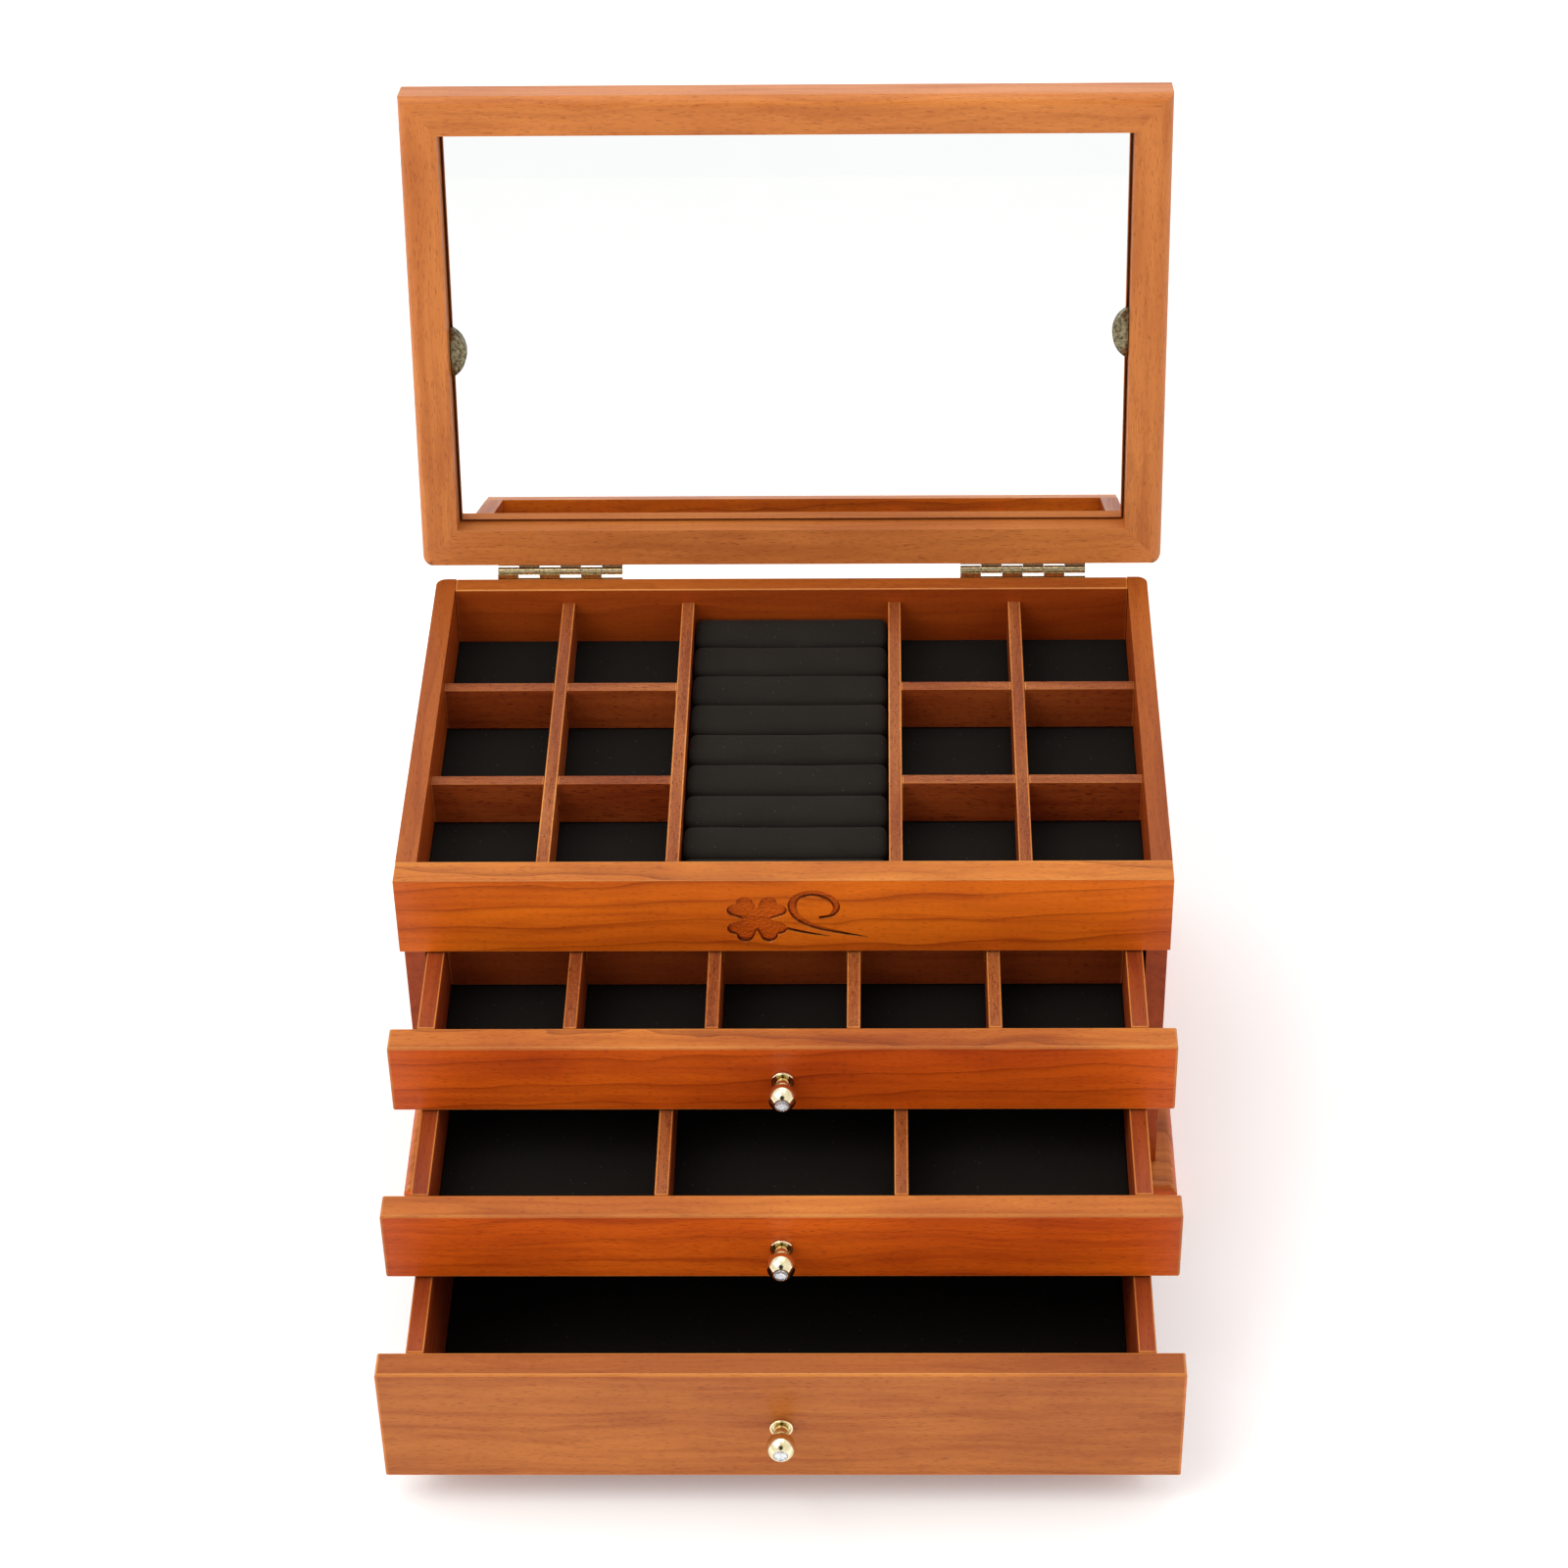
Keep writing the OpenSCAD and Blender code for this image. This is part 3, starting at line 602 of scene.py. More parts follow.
for family, grain, names in woodParts:
    look = woodLooks[family] | {"grain": grain}
    wood = stainedWood(f"{family}Grain{grain}", look)
    highlightWood = stainedWood(f"{family}PaintedEdgeHighlight{grain}", look | paintedEdgeHighlight)
    shortest = edgeWork["shortestOnRail" if family == "carvedRail" else "shortest"]
    for name in names:
        nodes[name].material_slots[0].material = wood
        easeEdges(nodes[name], easedEdge[family], highlightWood, shortest)
print("wood done")

# Metals: bright where they are rubbed, duller in clouds of tarnish, nearly black in the cracks, where painted
# shade joins the patina.
metalLooks = {
    # stamped hinges, antiqued: pale yellow with a brown patina
    "antiquedBrass": {
        "bright": "#D2BE92",
        "dark": "#5E4E34",
        "patina": 0.6,
        "patchMm": 1.2,
        "rough": 0.2,
        "crackShade": 1.0,
    },
    # beaten clips, antiqued: greenish brown, darkest in the dents, where painted shade joins the patina
    "antiquedBronze": {
        "bright": "#958B6E",
        "dark": "#453B29",
        "patina": 0.85,
        "patchMm": 1.2,
        "rough": 0.3,
        "crackShade": 1.0,
    },
    # turned and buffed knobs: pale gold with sharp reflections
    "polishedBrass": {
        "bright": "#F4E8C2",
        "dark": "#D8BE80",
        "patina": 0.5,
        "patchMm": 4.0,
        "rough": 0.06,
        "crackShade": 0.4,
    },
    # rolled screws, plated: even grey, softly bright
    "nickelPlatedSteel": {
        "bright": "#C9C7C2",
        "dark": "#8F8C86",
        "patina": 0.5,
        "patchMm": 2.0,
        "rough": 0.22,
        "crackShade": 0.5,
    },
    # foil behind the crystals: white and bright
    "silverFoil": {
        "bright": "#F4F4F6",
        "dark": "#D0D0D6",
        "patina": 0.6,
        "patchMm": 0.8,
        "rough": 0.12,
        "crackShade": 0.0,
    },
}
tarnish = {"roughMore": 0.25, "crackWidth": 1.0 * mm, "crackShadeColour": "#1C140C", "pitDepth": 0.05 * mm}


def tarnishedMetal(name):
    look = metalLooks[name]
    material, tree, shader = newMaterial(name, {"Metallic": 1.0})
    coords = addNode(tree, "ShaderNodeTexCoord")
    cloud = addNode(
        tree,
        "ShaderNodeTexNoise",
        {"Scale": 1 / (look["patchMm"] * mm), "Detail": 4.0, "Roughness": 0.6},
        {"Vector": coords.outputs["Object"]},
    )
    patina = addNode(
        tree,
        "ShaderNodeMapRange",
        {"From Min": 0.4, "From Max": 0.65, "To Min": 0.0, "To Max": look["patina"]},
        {"Value": cloud.outputs["Fac"]},
    )
    colour = addNode(
        tree,
        "ShaderNodeMix",
        {"data_type": "RGBA", 6: linearRgb(look["bright"]), 7: linearRgb(look["dark"])},
        {0: patina.outputs[0]},
    )
    # painted shade: ambient occlusion darkens the cracks and the gaps between parts, along with the patina
    # there
    crack = addNode(tree, "ShaderNodeAmbientOcclusion", {"samples": 8, "Distance": tarnish["crackWidth"]})
    crackShade = addNode(
        tree,
        "ShaderNodeMapRange",
        {"From Min": 0.7, "From Max": 0.35, "To Min": 0.0, "To Max": look["crackShade"]},
        {"Value": crack.outputs["AO"]},
    )
    crackShaded = addNode(
        tree,
        "ShaderNodeMix",
        {"data_type": "RGBA", 7: linearRgb(tarnish["crackShadeColour"])},
        {0: crackShade.outputs[0], 6: colour.outputs[2]},
    )
    tree.links.new(crackShaded.outputs[2], shader.inputs["Base Color"])
    rough = addNode(
        tree,
        "ShaderNodeMapRange",
        {"To Min": look["rough"], "To Max": look["rough"] + tarnish["roughMore"]},
        {"Value": patina.outputs[0]},
    )
    tree.links.new(rough.outputs[0], shader.inputs["Roughness"])
    bump = addNode(
        tree,
        "ShaderNodeBump",
        {"Strength": 0.4, "Distance": tarnish["pitDepth"]},
        {"Height": cloud.outputs["Fac"]},
    )
    tree.links.new(bump.outputs[0], shader.inputs["Normal"])
    return material


metals = {name: tarnishedMetal(name) for name in metalLooks}
for name, piece in nodes.items():
    if "hinge" in name:
        piece.material_slots[0].material = metals["antiquedBrass"]
        easeEdges(piece, easedEdge["hinge"])
    elif name.endswith("_knob"):
        piece.material_slots[0].material = metals["polishedBrass"]
    elif name.endswith("_knob_screw"):
        piece.material_slots[0].material = metals["nickelPlatedSteel"]
print("metal done")

# Silvered float glass: mirror-bright, with a faint grey cast and a slight bloom
mirrorLook = {"bloomMm": 60, "bloomRough": 0.03, "clear": "#FDFEFD", "cast": "#F8FAF9"}
mirrorMaterial, mirrorTree, mirrorShader = newMaterial("silveredGlass", {"Metallic": 1.0})
mirrorCoords = addNode(mirrorTree, "ShaderNodeTexCoord")
bloom = addNode(
    mirrorTree,
    "ShaderNodeTexNoise",
    {"Scale": 1 / (mirrorLook["bloomMm"] * mm), "Detail": 3.0},
    {"Vector": mirrorCoords.outputs["Object"]},
)
bloomRough = addNode(
    mirrorTree,
    "ShaderNodeMapRange",
    {"To Min": 0.0, "To Max": mirrorLook["bloomRough"]},
    {"Value": bloom.outputs["Fac"]},
)
bloomTint = addNode(
    mirrorTree,
    "ShaderNodeMix",
    {"data_type": "RGBA", 6: linearRgb(mirrorLook["clear"]), 7: linearRgb(mirrorLook["cast"])},
    {0: bloom.outputs["Fac"]},
)
mirrorTree.links.new(bloomRough.outputs[0], mirrorShader.inputs["Roughness"])
mirrorTree.links.new(bloomTint.outputs[2], mirrorShader.inputs["Base Color"])
nodes["mirror"].material_slots[0].material = mirrorMaterial
easeEdges(nodes["mirror"], easedEdge["mirror"])

# Grey backing card: matte pressed pulp with fine flecks
cardLook = {"fleckMm": 0.8, "dark": "#2E2A26", "light": "#3C3732"}
cardMaterial, cardTree, cardShader = newMaterial("greyCard", {"Roughness": 0.9})
cardCoords = addNode(cardTree, "ShaderNodeTexCoord")
fleck = addNode(
    cardTree,
    "ShaderNodeTexNoise",
    {"Scale": 1 / (cardLook["fleckMm"] * mm), "Detail": 2.0},
    {"Vector": cardCoords.outputs["Object"]},
)
cardColour = addNode(
    cardTree,
    "ShaderNodeMix",
    {"data_type": "RGBA", 6: linearRgb(cardLook["dark"]), 7: linearRgb(cardLook["light"])},
    {0: fleck.outputs["Fac"]},
)
cardTree.links.new(cardColour.outputs[2], cardShader.inputs["Base Color"])
nodes["mirror_card"].material_slots[0].material = cardMaterial
print("mirror and card done")

# Short pile velvet: black in the depth, a soft sheen at grazing angles, nap lying in slow patches,
# a little lint
velvetLooks = {
    # glued flat over card: the blackest, hardly any sheen
    "blackVelvet": {
        "dark": "#12100E",
        "light": "#1C1916",
        "lint": 0.25,
        "sheen": 0.03,
        "sheenTint": "#6E665C",
    },
    # stretched over foam rolls, so the pile opens and looks greyer
    "charcoalVelvet": {
        "dark": "#181512",
        "light": "#292520",
        "lint": 0.3,
        "sheen": 0.08,
        "sheenTint": "#948C84",
    },
}
pile = {
    "tuftMm": 0.5,  # drawn coarse so that the tufts show
    "napMm": 22,
    "lintApart": 4,  # mm
    # shares of lintApart, from a speck's middle to where it starts to fade and where it is gone
    "lintFrom": 0.03,
    "lintTo": 0.07,
    "lintColour": "#8A847A",
    "depth": 0.2 * mm,
}


def velvetMaterial(name):
    look = velvetLooks[name]
    surface = {
        "Roughness": 0.95,
        "Specular IOR Level": 0.1,
        "Sheen Weight": look["sheen"],
        "Sheen Roughness": 0.45,
        "Sheen Tint": linearRgb(look["sheenTint"]),
    }
    material, tree, shader = newMaterial(name, surface)
    coords = addNode(tree, "ShaderNodeTexCoord")
    tufts = addNode(
        tree,
        "ShaderNodeTexNoise",
        {"Scale": 1 / (pile["tuftMm"] * mm), "Detail": 3.0},
        {"Vector": coords.outputs["Object"]},
    )
    nap = addNode(
        tree,
        "ShaderNodeTexNoise",
        {"Scale": 1 / (pile["napMm"] * mm), "Detail": 2.0},
        {"Vector": coords.outputs["Object"]},
    )
    # half tufts, half nap
    halfTufts = addNode(tree, "ShaderNodeMath", {"operation": "MULTIPLY", 1: 0.5}, {0: tufts.outputs["Fac"]})
    together = addNode(
        tree,
        "ShaderNodeMath",
        {"operation": "MULTIPLY_ADD", 1: 0.5},
        {0: nap.outputs["Fac"], 2: halfTufts.outputs[0]},
    )
    colour = addNode(
        tree,
        "ShaderNodeMix",
        {"data_type": "RGBA", 6: linearRgb(look["dark"]), 7: linearRgb(look["light"])},
        {0: together.outputs[0]},
    )
    scatter = addNode(
        tree,
        "ShaderNodeTexVoronoi",
        {"Scale": 1 / (pile["lintApart"] * mm)},
        {"Vector": coords.outputs["Object"]},
    )
    lint = addNode(
        tree,
        "ShaderNodeMapRange",
        {"From Min": pile["lintFrom"], "From Max": pile["lintTo"], "To Min": look["lint"], "To Max": 0.0},
        {"Value": scatter.outputs["Distance"]},
    )
    linty = addNode(
        tree,
        "ShaderNodeMix",
        {"data_type": "RGBA", 7: linearRgb(pile["lintColour"])},
        {0: lint.outputs[0], 6: colour.outputs[2]},
    )
    tree.links.new(linty.outputs[2], shader.inputs["Base Color"])
    bump = addNode(
        tree, "ShaderNodeBump", {"Strength": 0.5, "Distance": pile["depth"]}, {"Height": tufts.outputs["Fac"]}
    )
    tree.links.new(bump.outputs[0], shader.inputs["Normal"])
    return material


velvets = {name: velvetMaterial(name) for name in velvetLooks}


def newPiece(name, mesh, materials):
    piece = bpy.data.objects.new(name, mesh)
    bpy.context.scene.collection.objects.link(piece)
    for material in materials:
        mesh.materials.append(material)
    return piece


# boxes of a node's separate solids, in metres
def solidBoxes(name):
    made = bmesh.new()
    made.from_mesh(nodes[name].data)
    bmesh.ops.remove_doubles(made, verts=made.verts, dist=0.001 * mm)
    left = set(made.verts)
    boxes = []
    while left:
        reached = [left.pop()]
        for vert in reached:
            for edge in vert.link_edges:
                other = edge.other_vert(vert)
                if other in left:
                    left.remove(other)
                    reached.append(other)
        points = [v.co for v in reached]
        boxes.append([(min(p[i] for p in points), max(p[i] for p in points)) for i in range(3)])
    made.free()
    return boxes


# Linings: velvet over thin card, a little crowned in each cell and tucked down at the walls
liningLook = {
    "step": 2.0 * mm,
    "edgeStep": 0.35,  # share of a step, beside the walls
    "longRun": 3,  # steps; a shorter run gets no edge lines
    "thinWall": 10 * mm,  # a divider's thickness is under this
    "crown": 0.35 * mm,
    "crownWidth": 9 * mm,
    "tuck": 0.7 * mm,
    "tuckWidth": 1.1 * mm,
    "uneven": 0.12 * mm,
    "unevenWidth": 14 * mm,
    "evenBeside": 0.5 * mm,
}
linings = {
    # body, dividers
    "tray_lining": ("case", ["tray_bay_dividers", "tray_long_dividers", "tray_cross_dividers"]),
    "top_drawer_lining": ("top_drawer", ["top_drawer_long_dividers", "top_drawer_cross_dividers"]),
    "middle_drawer_lining": ("middle_drawer", ["middle_drawer_dividers"]),
    "bottom_drawer_lining": ("bottom_drawer", []),
}


# grid lines from low to high that follow each thin wall and close up beside it
def gridLines(low, high, spans):
    step = liningLook["step"]
    walls = [span for span in spans if span[1] - span[0] < liningLook["thinWall"]]
    marks = sorted({low, high, *(w for pair in walls for w in pair if low < w < high)})
    lines = []
    for a, b in zip(marks, marks[1:]):
        count = max(2, round((b - a) / step))
        isLong = b - a > liningLook["longRun"] * step
        for i in range(count):
            t = i / count
            lines.append(a + (b - a) * t)
            if i == 0 and isLong:
                lines.append(a + step * liningLook["edgeStep"])
            if i == count - 1 and isLong:
                lines.append(b - step * liningLook["edgeStep"])
    lines.append(high)
    return sorted(lines)


def makeLining(name):
    body, dividerNodes = linings[name]
    low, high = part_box(name)
    walls = [box for node in dividerNodes for box in solidBoxes(node)]
    xs = gridLines(low.x, high.x, [box[0] for box in walls])
    ys = gridLines(low.y, high.y, [box[1] for box in walls])

    def toWall(x, y):
        nearest = min(x - low.x, high.x - x, y - low.y, high.y - y)
        for (x0, x1), (y0, y1), _ in walls:
            outX = max(x0 - x, x - x1, 0)
            outY = max(y0 - y, y - y1, 0)
            nearest = min(nearest, math.hypot(outX, outY))
        return max(nearest, 0)

    made = bmesh.new()
    rows = []
    for y in ys:
        row = []
        for x in xs:
            d = toWall(x, y)
            crowned = liningLook["crown"] * (1 - math.exp(-d / liningLook["crownWidth"]))
            lift = crowned - liningLook["tuck"] * math.exp(-d / liningLook["tuckWidth"])
            if d > liningLook["evenBeside"]:
                lift += liningLook["uneven"] * noise.noise(Vector((x, y, low.z)) / liningLook["unevenWidth"])
            row.append(made.verts.new((x, y, high.z + lift)))
        rows.append(row)
    for a, b in zip(rows, rows[1:]):
        for i in range(len(a) - 1):
            made.faces.new((a[i], a[i + 1], b[i + 1], b[i]))
    # a skirt and a flat underside close it
    rim = rows[0] + [r[-1] for r in rows[1:]] + rows[-1][-2::-1] + [r[0] for r in rows[-2:0:-1]]
    under = [made.verts.new((v.co.x, v.co.y, low.z)) for v in rim]
    for i in range(len(rim)):
        j = (i + 1) % len(rim)
        made.faces.new((rim[j], rim[i], under[i], under[j]))
    made.faces.new(under[::-1])
    mesh = bpy.data.meshes.new(name + "_velvet")
    made.to_mesh(mesh)
    made.free()
    mesh.shade_smooth()
    piece = newPiece(name + "_velvet", mesh, [velvets["blackVelvet"]])
    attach(piece, body)
    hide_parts(name)


for name in linings:
    makeLining(name)
print("linings done")

# Ring cushion: foam rolls wrapped in velvet, side by side across the bay
rollLook = {
    "rolls": 9,
    "apart": 0.25 * mm,
    "endGap": 0.3 * mm,
    "endDome": 0.2 * mm,
    "easedEnd": 1.6 * mm,
    "easedShare": 0.12,
    "squareness": 0.42,  # 1 is round, 0 is square
    "uneven": 0.02,
    "unevenScale": (55, 3.1, 0.45),  # for a metre of length, a roll and a step around
    "lengthSteps": 34,
    "aroundSteps": 26,
    "clear": 0.05 * mm,  # from the bay's walls
    "clearBelow": 0.02 * mm,
}
# cloth under light pressure; a point may move no further than most
puffLook = {"steps": 14, "most": 0.6 * mm, "quality": 6, "mass": 0.15, "pressure": 3.0, "bending": 0.5}


def makeRolls():
    low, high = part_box("ring_cushion")
    pitch = (high.y - low.y) / rollLook["rolls"]
    made = bmesh.new()
    half = pitch / 2 - rollLook["apart"]
    length = high.x - low.x
    alongScale, rollScale, aroundScale = rollLook["unevenScale"]
    for roll in range(rollLook["rolls"]):
        middleY = low.y + (roll + 0.5) * pitch
        loops = []
        for i in range(rollLook["lengthSteps"] + 1):
            t = i / rollLook["lengthSteps"]
            endward = min(t, 1 - t) * length
            closing = 1 - rollLook["easedShare"] * max(0, 1 - endward / rollLook["easedEnd"]) ** 2
            x = low.x + rollLook["endGap"] + t * (length - 2 * rollLook["endGap"])
            loop = []
            for k in range(rollLook["aroundSteps"]):
                a = math.tau * k / rollLook["aroundSteps"]
                cy = math.copysign(abs(math.cos(a)) ** rollLook["squareness"], math.cos(a))
                cz = math.copysign(abs(math.sin(a)) ** rollLook["squareness"], math.sin(a))
                spot = Vector((x * alongScale, roll * rollScale, k * aroundScale))
                bulge = 1 + rollLook["uneven"] * noise.noise(spot)
                y = middleY + half * cy * bulge * closing
                z = low.z + (high.z - low.z) * (0.5 + 0.5 * cz * bulge * closing)
                loop.append(made.verts.new((x, y, max(z, low.z + rollLook["clearBelow"]))))
            loops.append(loop)
        for a, b in zip(loops, loops[1:]):
            for k in range(len(a)):
                n = (k + 1) % len(a)
                made.faces.new((a[k], a[n], b[n], b[k]))
        for loop, side in ((loops[0], -1), (loops[-1], 1)):
            dome = Vector((side * rollLook["endDome"], 0, 0))
            centre = made.verts.new(sum((v.co for v in loop), Vector()) / len(loop) + dome)
            for k in range(len(loop)):
                n = (k + 1) % len(loop)
                made.faces.new((loop[n], loop[k], centre) if side < 0 else (loop[k], loop[n], centre))
    bmesh.ops.recalc_face_normals(made, faces=made.faces)
    mesh = bpy.data.meshes.new("ring_rolls")
    made.to_mesh(mesh)
    made.free()
    mesh.shade_smooth()
    return newPiece("ring_rolls", mesh, [velvets["charcoalVelvet"]])


def puffUp(piece):
    start = [v.co.copy() for v in piece.data.vertices]
    cloth = piece.modifiers.new("puff", "CLOTH")
    cloth.settings.quality = puffLook["quality"]
    cloth.settings.mass = puffLook["mass"]
    cloth.settings.use_pressure = True
    cloth.settings.uniform_pressure_force = puffLook["pressure"]
    cloth.settings.effector_weights.gravity = 0
    cloth.settings.bending_stiffness = puffLook["bending"]
    cloth.collision_settings.use_collision = False
    scene = bpy.context.scene
    scene.frame_start = 1
    scene.frame_end = puffLook["steps"]
    for step in range(1, puffLook["steps"] + 1):
        scene.frame_set(step)
    shaped = piece.evaluated_get(bpy.context.evaluated_depsgraph_get())
    ends = [v.co.copy() for v in shaped.data.vertices]
    piece.modifiers.remove(cloth)
    for vert, a, b in zip(piece.data.vertices, start, ends):
        move = b - a
        if move.length > puffLook["most"]:
            move *= puffLook["most"] / move.length
        vert.co = a + move
    scene.frame_set(1)


rolls = makeRolls()
puffUp(rolls)
bayLow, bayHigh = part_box("ring_cushion")
for vert in rolls.data.vertices:
    vert.co.x = min(max(vert.co.x, bayLow.x + rollLook["clear"]), bayHigh.x - rollLook["clear"])
    vert.co.y = min(max(vert.co.y, bayLow.y + rollLook["clear"]), bayHigh.y - rollLook["clear"])
    vert.co.z = max(vert.co.z, bayLow.z + rollLook["clearBelow"])
smoother = rolls.modifiers.new("smoother", "SUBSURF")
smoother.levels = smoother.render_levels = 1
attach(rolls, "case")
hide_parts("ring_cushion")
print("ring cushion done")

# Cut lead crystal over a silver foil back: clear crown, bright pavilion
crystalLook = {"cloudMm": 1.5, "clear": "#FFFFFF", "cast": "#F2F6FA"}
crystalGlass, crystalTree, crystalShader = newMaterial(
    "cutLeadCrystal", {"IOR": 1.56, "Roughness": 0.0, "Transmission Weight": 0.85}
)
crystalCoords = addNode(crystalTree, "ShaderNodeTexCoord")
crystalCloud = addNode(
    crystalTree,
    "ShaderNodeTexNoise",
    {"Scale": 1 / (crystalLook["cloudMm"] * mm)},
    {"Vector": crystalCoords.outputs["Object"]},
)
crystalTint = addNode(
    crystalTree,
    "ShaderNodeMix",
    {"data_type": "RGBA", 6: linearRgb(crystalLook["clear"]), 7: linearRgb(crystalLook["cast"])},
    {0: crystalCloud.outputs["Fac"]},
)
crystalTree.links.new(crystalTint.outputs[2], crystalShader.inputs["Base Color"])
# radii as shares of the stone's radius, depths as shares of its depth
cut = {
    "facets": 8,
    "table": 0.56,
    "star": 0.8,
    "starDepth": 0.45,  # share of the way to the girdle
    "girdleDepth": 0.52,
    "girdleThick": 0.15,
    "backGap": 0.02 * mm,
}


def makeCrystal(drawer):
    low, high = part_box(f"{drawer}_crystal")
    centre = (low + high) / 2
    radius = (high.x - low.x) / 2
    front = low.y
    depth = high.y - front
    girdleY = front + depth * cut["girdleDepth"]
    made = bmesh.new()

    def ring(share, y, count, turn):
        step = math.tau / count
        verts = []
        for i in range(count):
            a = step * (i + turn)
            x = centre.x + radius * share * math.cos(a)
            z = centre.z + radius * share * math.sin(a)
            verts.append(made.verts.new((x, y, z)))
        return verts

    n = cut["facets"]
    table = ring(cut["table"], front, n, 0.0)
    star = ring(cut["star"], front + (girdleY - front) * cut["starDepth"], n, 0.5)
    girdle = ring(1.0, girdleY, 2 * n, 0.0)
    lowerGirdle = ring(1.0, girdleY + cut["girdleThick"] * depth, 2 * n, 0.0)
    culet = made.verts.new((centre.x, high.y - cut["backGap"], centre.z))
    made.faces.new(table)
    for i in range(n):
        j = (i + 1) % n
        made.faces.new((table[i], table[j], star[i]))
        made.faces.new((table[i], star[i - 1], girdle[2 * i], star[i]))
        made.faces.new((star[i], girdle[2 * i], girdle[2 * i + 1]))
        made.faces.new((star[i], girdle[2 * i + 1], girdle[(2 * i + 2) % (2 * n)]))
    for i in range(2 * n):
        j = (i + 1) % (2 * n)
        made.faces.new((girdle[i], girdle[j], lowerGirdle[j], lowerGirdle[i]))
        foil = made.faces.new((lowerGirdle[i], lowerGirdle[j], culet))
        foil.material_index = 1
    bmesh.ops.recalc_face_normals(made, faces=made.faces)
    mesh = bpy.data.meshes.new(f"{drawer}_cut_crystal")
    made.to_mesh(mesh)
    made.free()
    piece = newPiece(f"{drawer}_cut_crystal", mesh, [crystalGlass, metals["silverFoil"]])
    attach(piece, drawer)
    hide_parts(f"{drawer}_crystal")


for drawer in drawers:
    makeCrystal(drawer)
print("crystals done")

# Mirror clips: part of a disc, domed, with a beaten face and a plain rim
clipLook = {
    "around": 40,
    "across": 16,
    "lengthShare": 0.998,
    "edgeThick": 0.3,  # share of the depth
    "beaten": 0.22 * mm,
    "dentWidth": 2.1 * mm,
    "dentSteep": 1.6,
    "rimWidth": 0.9 * mm,
    "rimFall": 0.4,  # share of beaten
}
hinge = next(joint for joint in frame["joints"] if joint["name"] == "lid_hinge")
hingePoint = Vector(hinge["pos_m"])
toClosed = (
    Matrix.Translation(hingePoint)
    @ Matrix.Rotation(math.radians(lidAngle), 4, "X")
    @ Matrix.Translation(-hingePoint)
)
toOpen = toClosed.inverted()


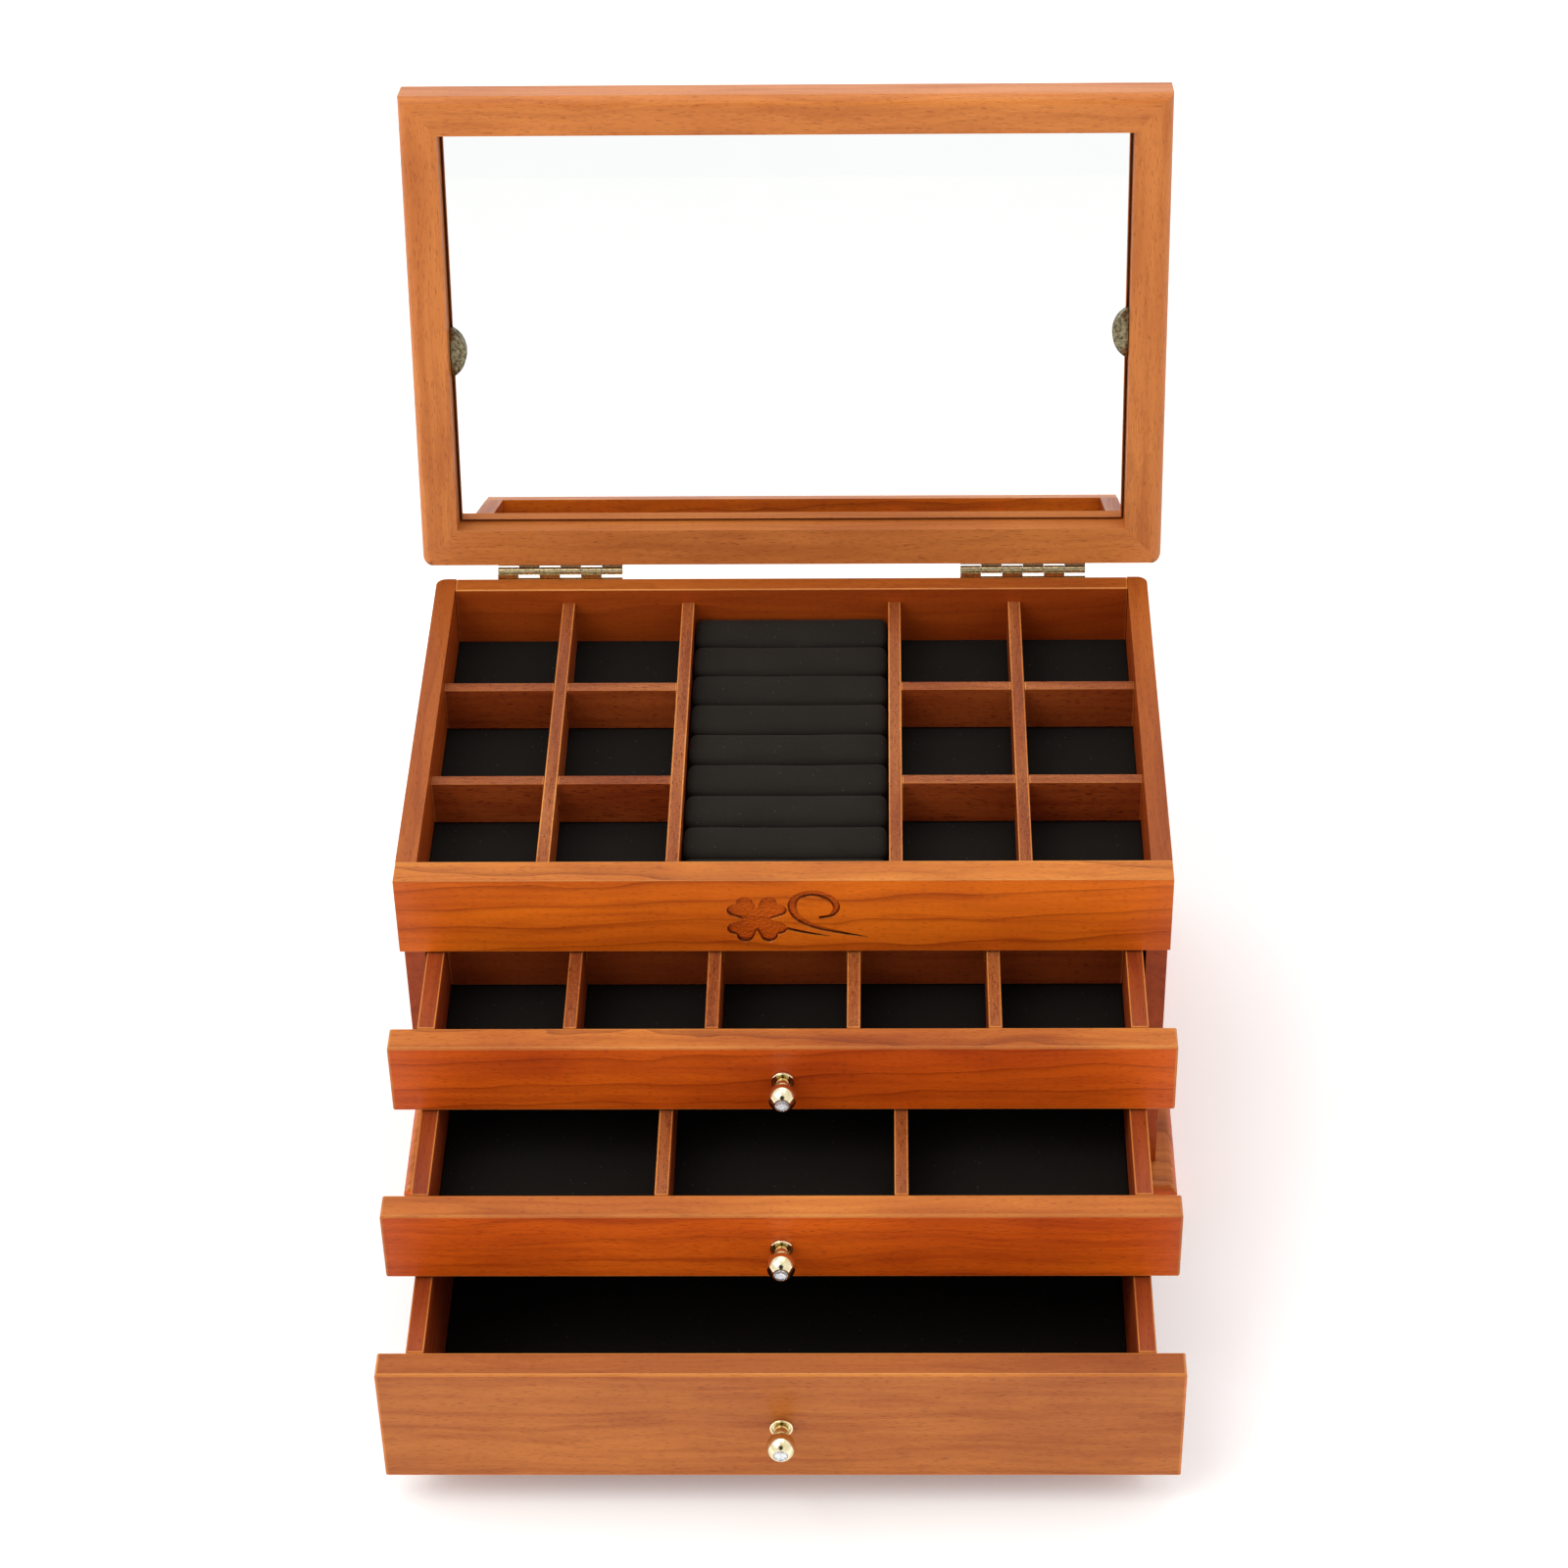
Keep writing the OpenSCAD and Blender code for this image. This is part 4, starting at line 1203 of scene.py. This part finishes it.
# made with the lid shut, where the glass is level, then turned to the open lid
def makeClip(side):
    name = f"{side}_mirror_clip"
    points = [toClosed @ v.co for v in nodes[name].data.vertices]
    low = Vector([min(p[i] for p in points) for i in range(3)])
    high = Vector([max(p[i] for p in points) for i in range(3)])
    wallX, tipX = (low.x, high.x) if side == "left" else (high.x, low.x)
    reach = tipX - wallX
    chord = high.y - low.y
    glassZ = high.z
    depth = high.z - low.z
    middleY = (low.y + high.y) / 2
    radius = (chord**2 / 4 + reach**2) / (2 * abs(reach))
    centreX = wallX + math.copysign(abs(reach) - radius, reach)
    edge = clipLook["edgeThick"]
    made = bmesh.new()
    grid = []
    for i in range(clipLook["around"] + 1):
        y = middleY + chord * (i / clipLook["around"] - 0.5) * clipLook["lengthShare"]
        span = math.sqrt(max(radius**2 - (y - middleY) ** 2, 0)) - (radius - abs(reach))
        row = []
        for k in range(clipLook["across"] + 1):
            x = wallX + math.copysign(span * k / clipLook["across"], reach)
            inward = radius - math.hypot(x - centreX, y - middleY)
            dome = depth * edge + depth * (1 - edge) * (1 - (1 - min(inward / abs(reach), 1)) ** 2)
            if inward > clipLook["rimWidth"]:
                dent = noise.voronoi(Vector((x, y, 0)) / clipLook["dentWidth"])[0][0]
                dome -= clipLook["beaten"] * (1 - min(dent * clipLook["dentSteep"], 1))
            else:
                dome -= clipLook["beaten"] * clipLook["rimFall"] * (1 - inward / clipLook["rimWidth"])
            row.append(made.verts.new((x, y, glassZ - dome)))
        grid.append(row)
    base = [[made.verts.new((v.co.x, v.co.y, glassZ)) for v in row] for row in grid]
    for a, b, c, d in zip(grid, grid[1:], base, base[1:]):
        for k in range(clipLook["across"]):
            made.faces.new((a[k], a[k + 1], b[k + 1], b[k]))
            made.faces.new((c[k], d[k], d[k + 1], c[k + 1]))
        made.faces.new((a[0], b[0], d[0], c[0]))
        made.faces.new((a[-1], c[-1], d[-1], b[-1]))
    for row, under in ((grid[0], base[0]), (grid[-1], base[-1])):
        for k in range(clipLook["across"]):
            made.faces.new((row[k], row[k + 1], under[k + 1], under[k]))
    bmesh.ops.remove_doubles(made, verts=made.verts, dist=0.01 * mm)
    bmesh.ops.recalc_face_normals(made, faces=made.faces)
    mesh = bpy.data.meshes.new(f"{side}_beaten_clip")
    made.to_mesh(mesh)
    made.free()
    mesh.transform(toOpen)
    mesh.shade_smooth()
    piece = newPiece(f"{side}_beaten_clip", mesh, [metals["antiquedBronze"]])
    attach(piece, "lid")
    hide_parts(name)


for side in ("left", "right"):
    makeClip(side)
print("clips done")

# Floor: a light table of opal acrylic lit from below, with a faint mottle
floorLook = {"half": 6.0, "glow": 0.16, "mottleMm": 400, "light": "#F8F8F7", "dark": "#F4F4F3"}
floorMaterial, floorTree, floorShader = newMaterial(
    "opalLightTable",
    {
        "Roughness": 0.9,
        "Specular IOR Level": 0.2,
        "Emission Color": (1, 1, 1, 1),
        "Emission Strength": floorLook["glow"],
    },
)
floorCoords = addNode(floorTree, "ShaderNodeTexCoord")
mottle = addNode(
    floorTree,
    "ShaderNodeTexNoise",
    {"Scale": 1 / (floorLook["mottleMm"] * mm)},
    {"Vector": floorCoords.outputs["Object"]},
)
floorColour = addNode(
    floorTree,
    "ShaderNodeMix",
    {"data_type": "RGBA", 6: linearRgb(floorLook["light"]), 7: linearRgb(floorLook["dark"])},
    {0: mottle.outputs["Fac"]},
)
floorTree.links.new(floorColour.outputs[2], floorShader.inputs["Base Color"])
floorMesh = bpy.data.meshes.new("floor")
half = floorLook["half"]
corners = [(-half, -half, 0), (half, -half, 0), (half, half, 0), (-half, half, 0)]
floorMesh.from_pydata(corners, [], [(0, 1, 2, 3)])
newPiece("floor", floorMesh, [floorMaterial])

print("scene made")
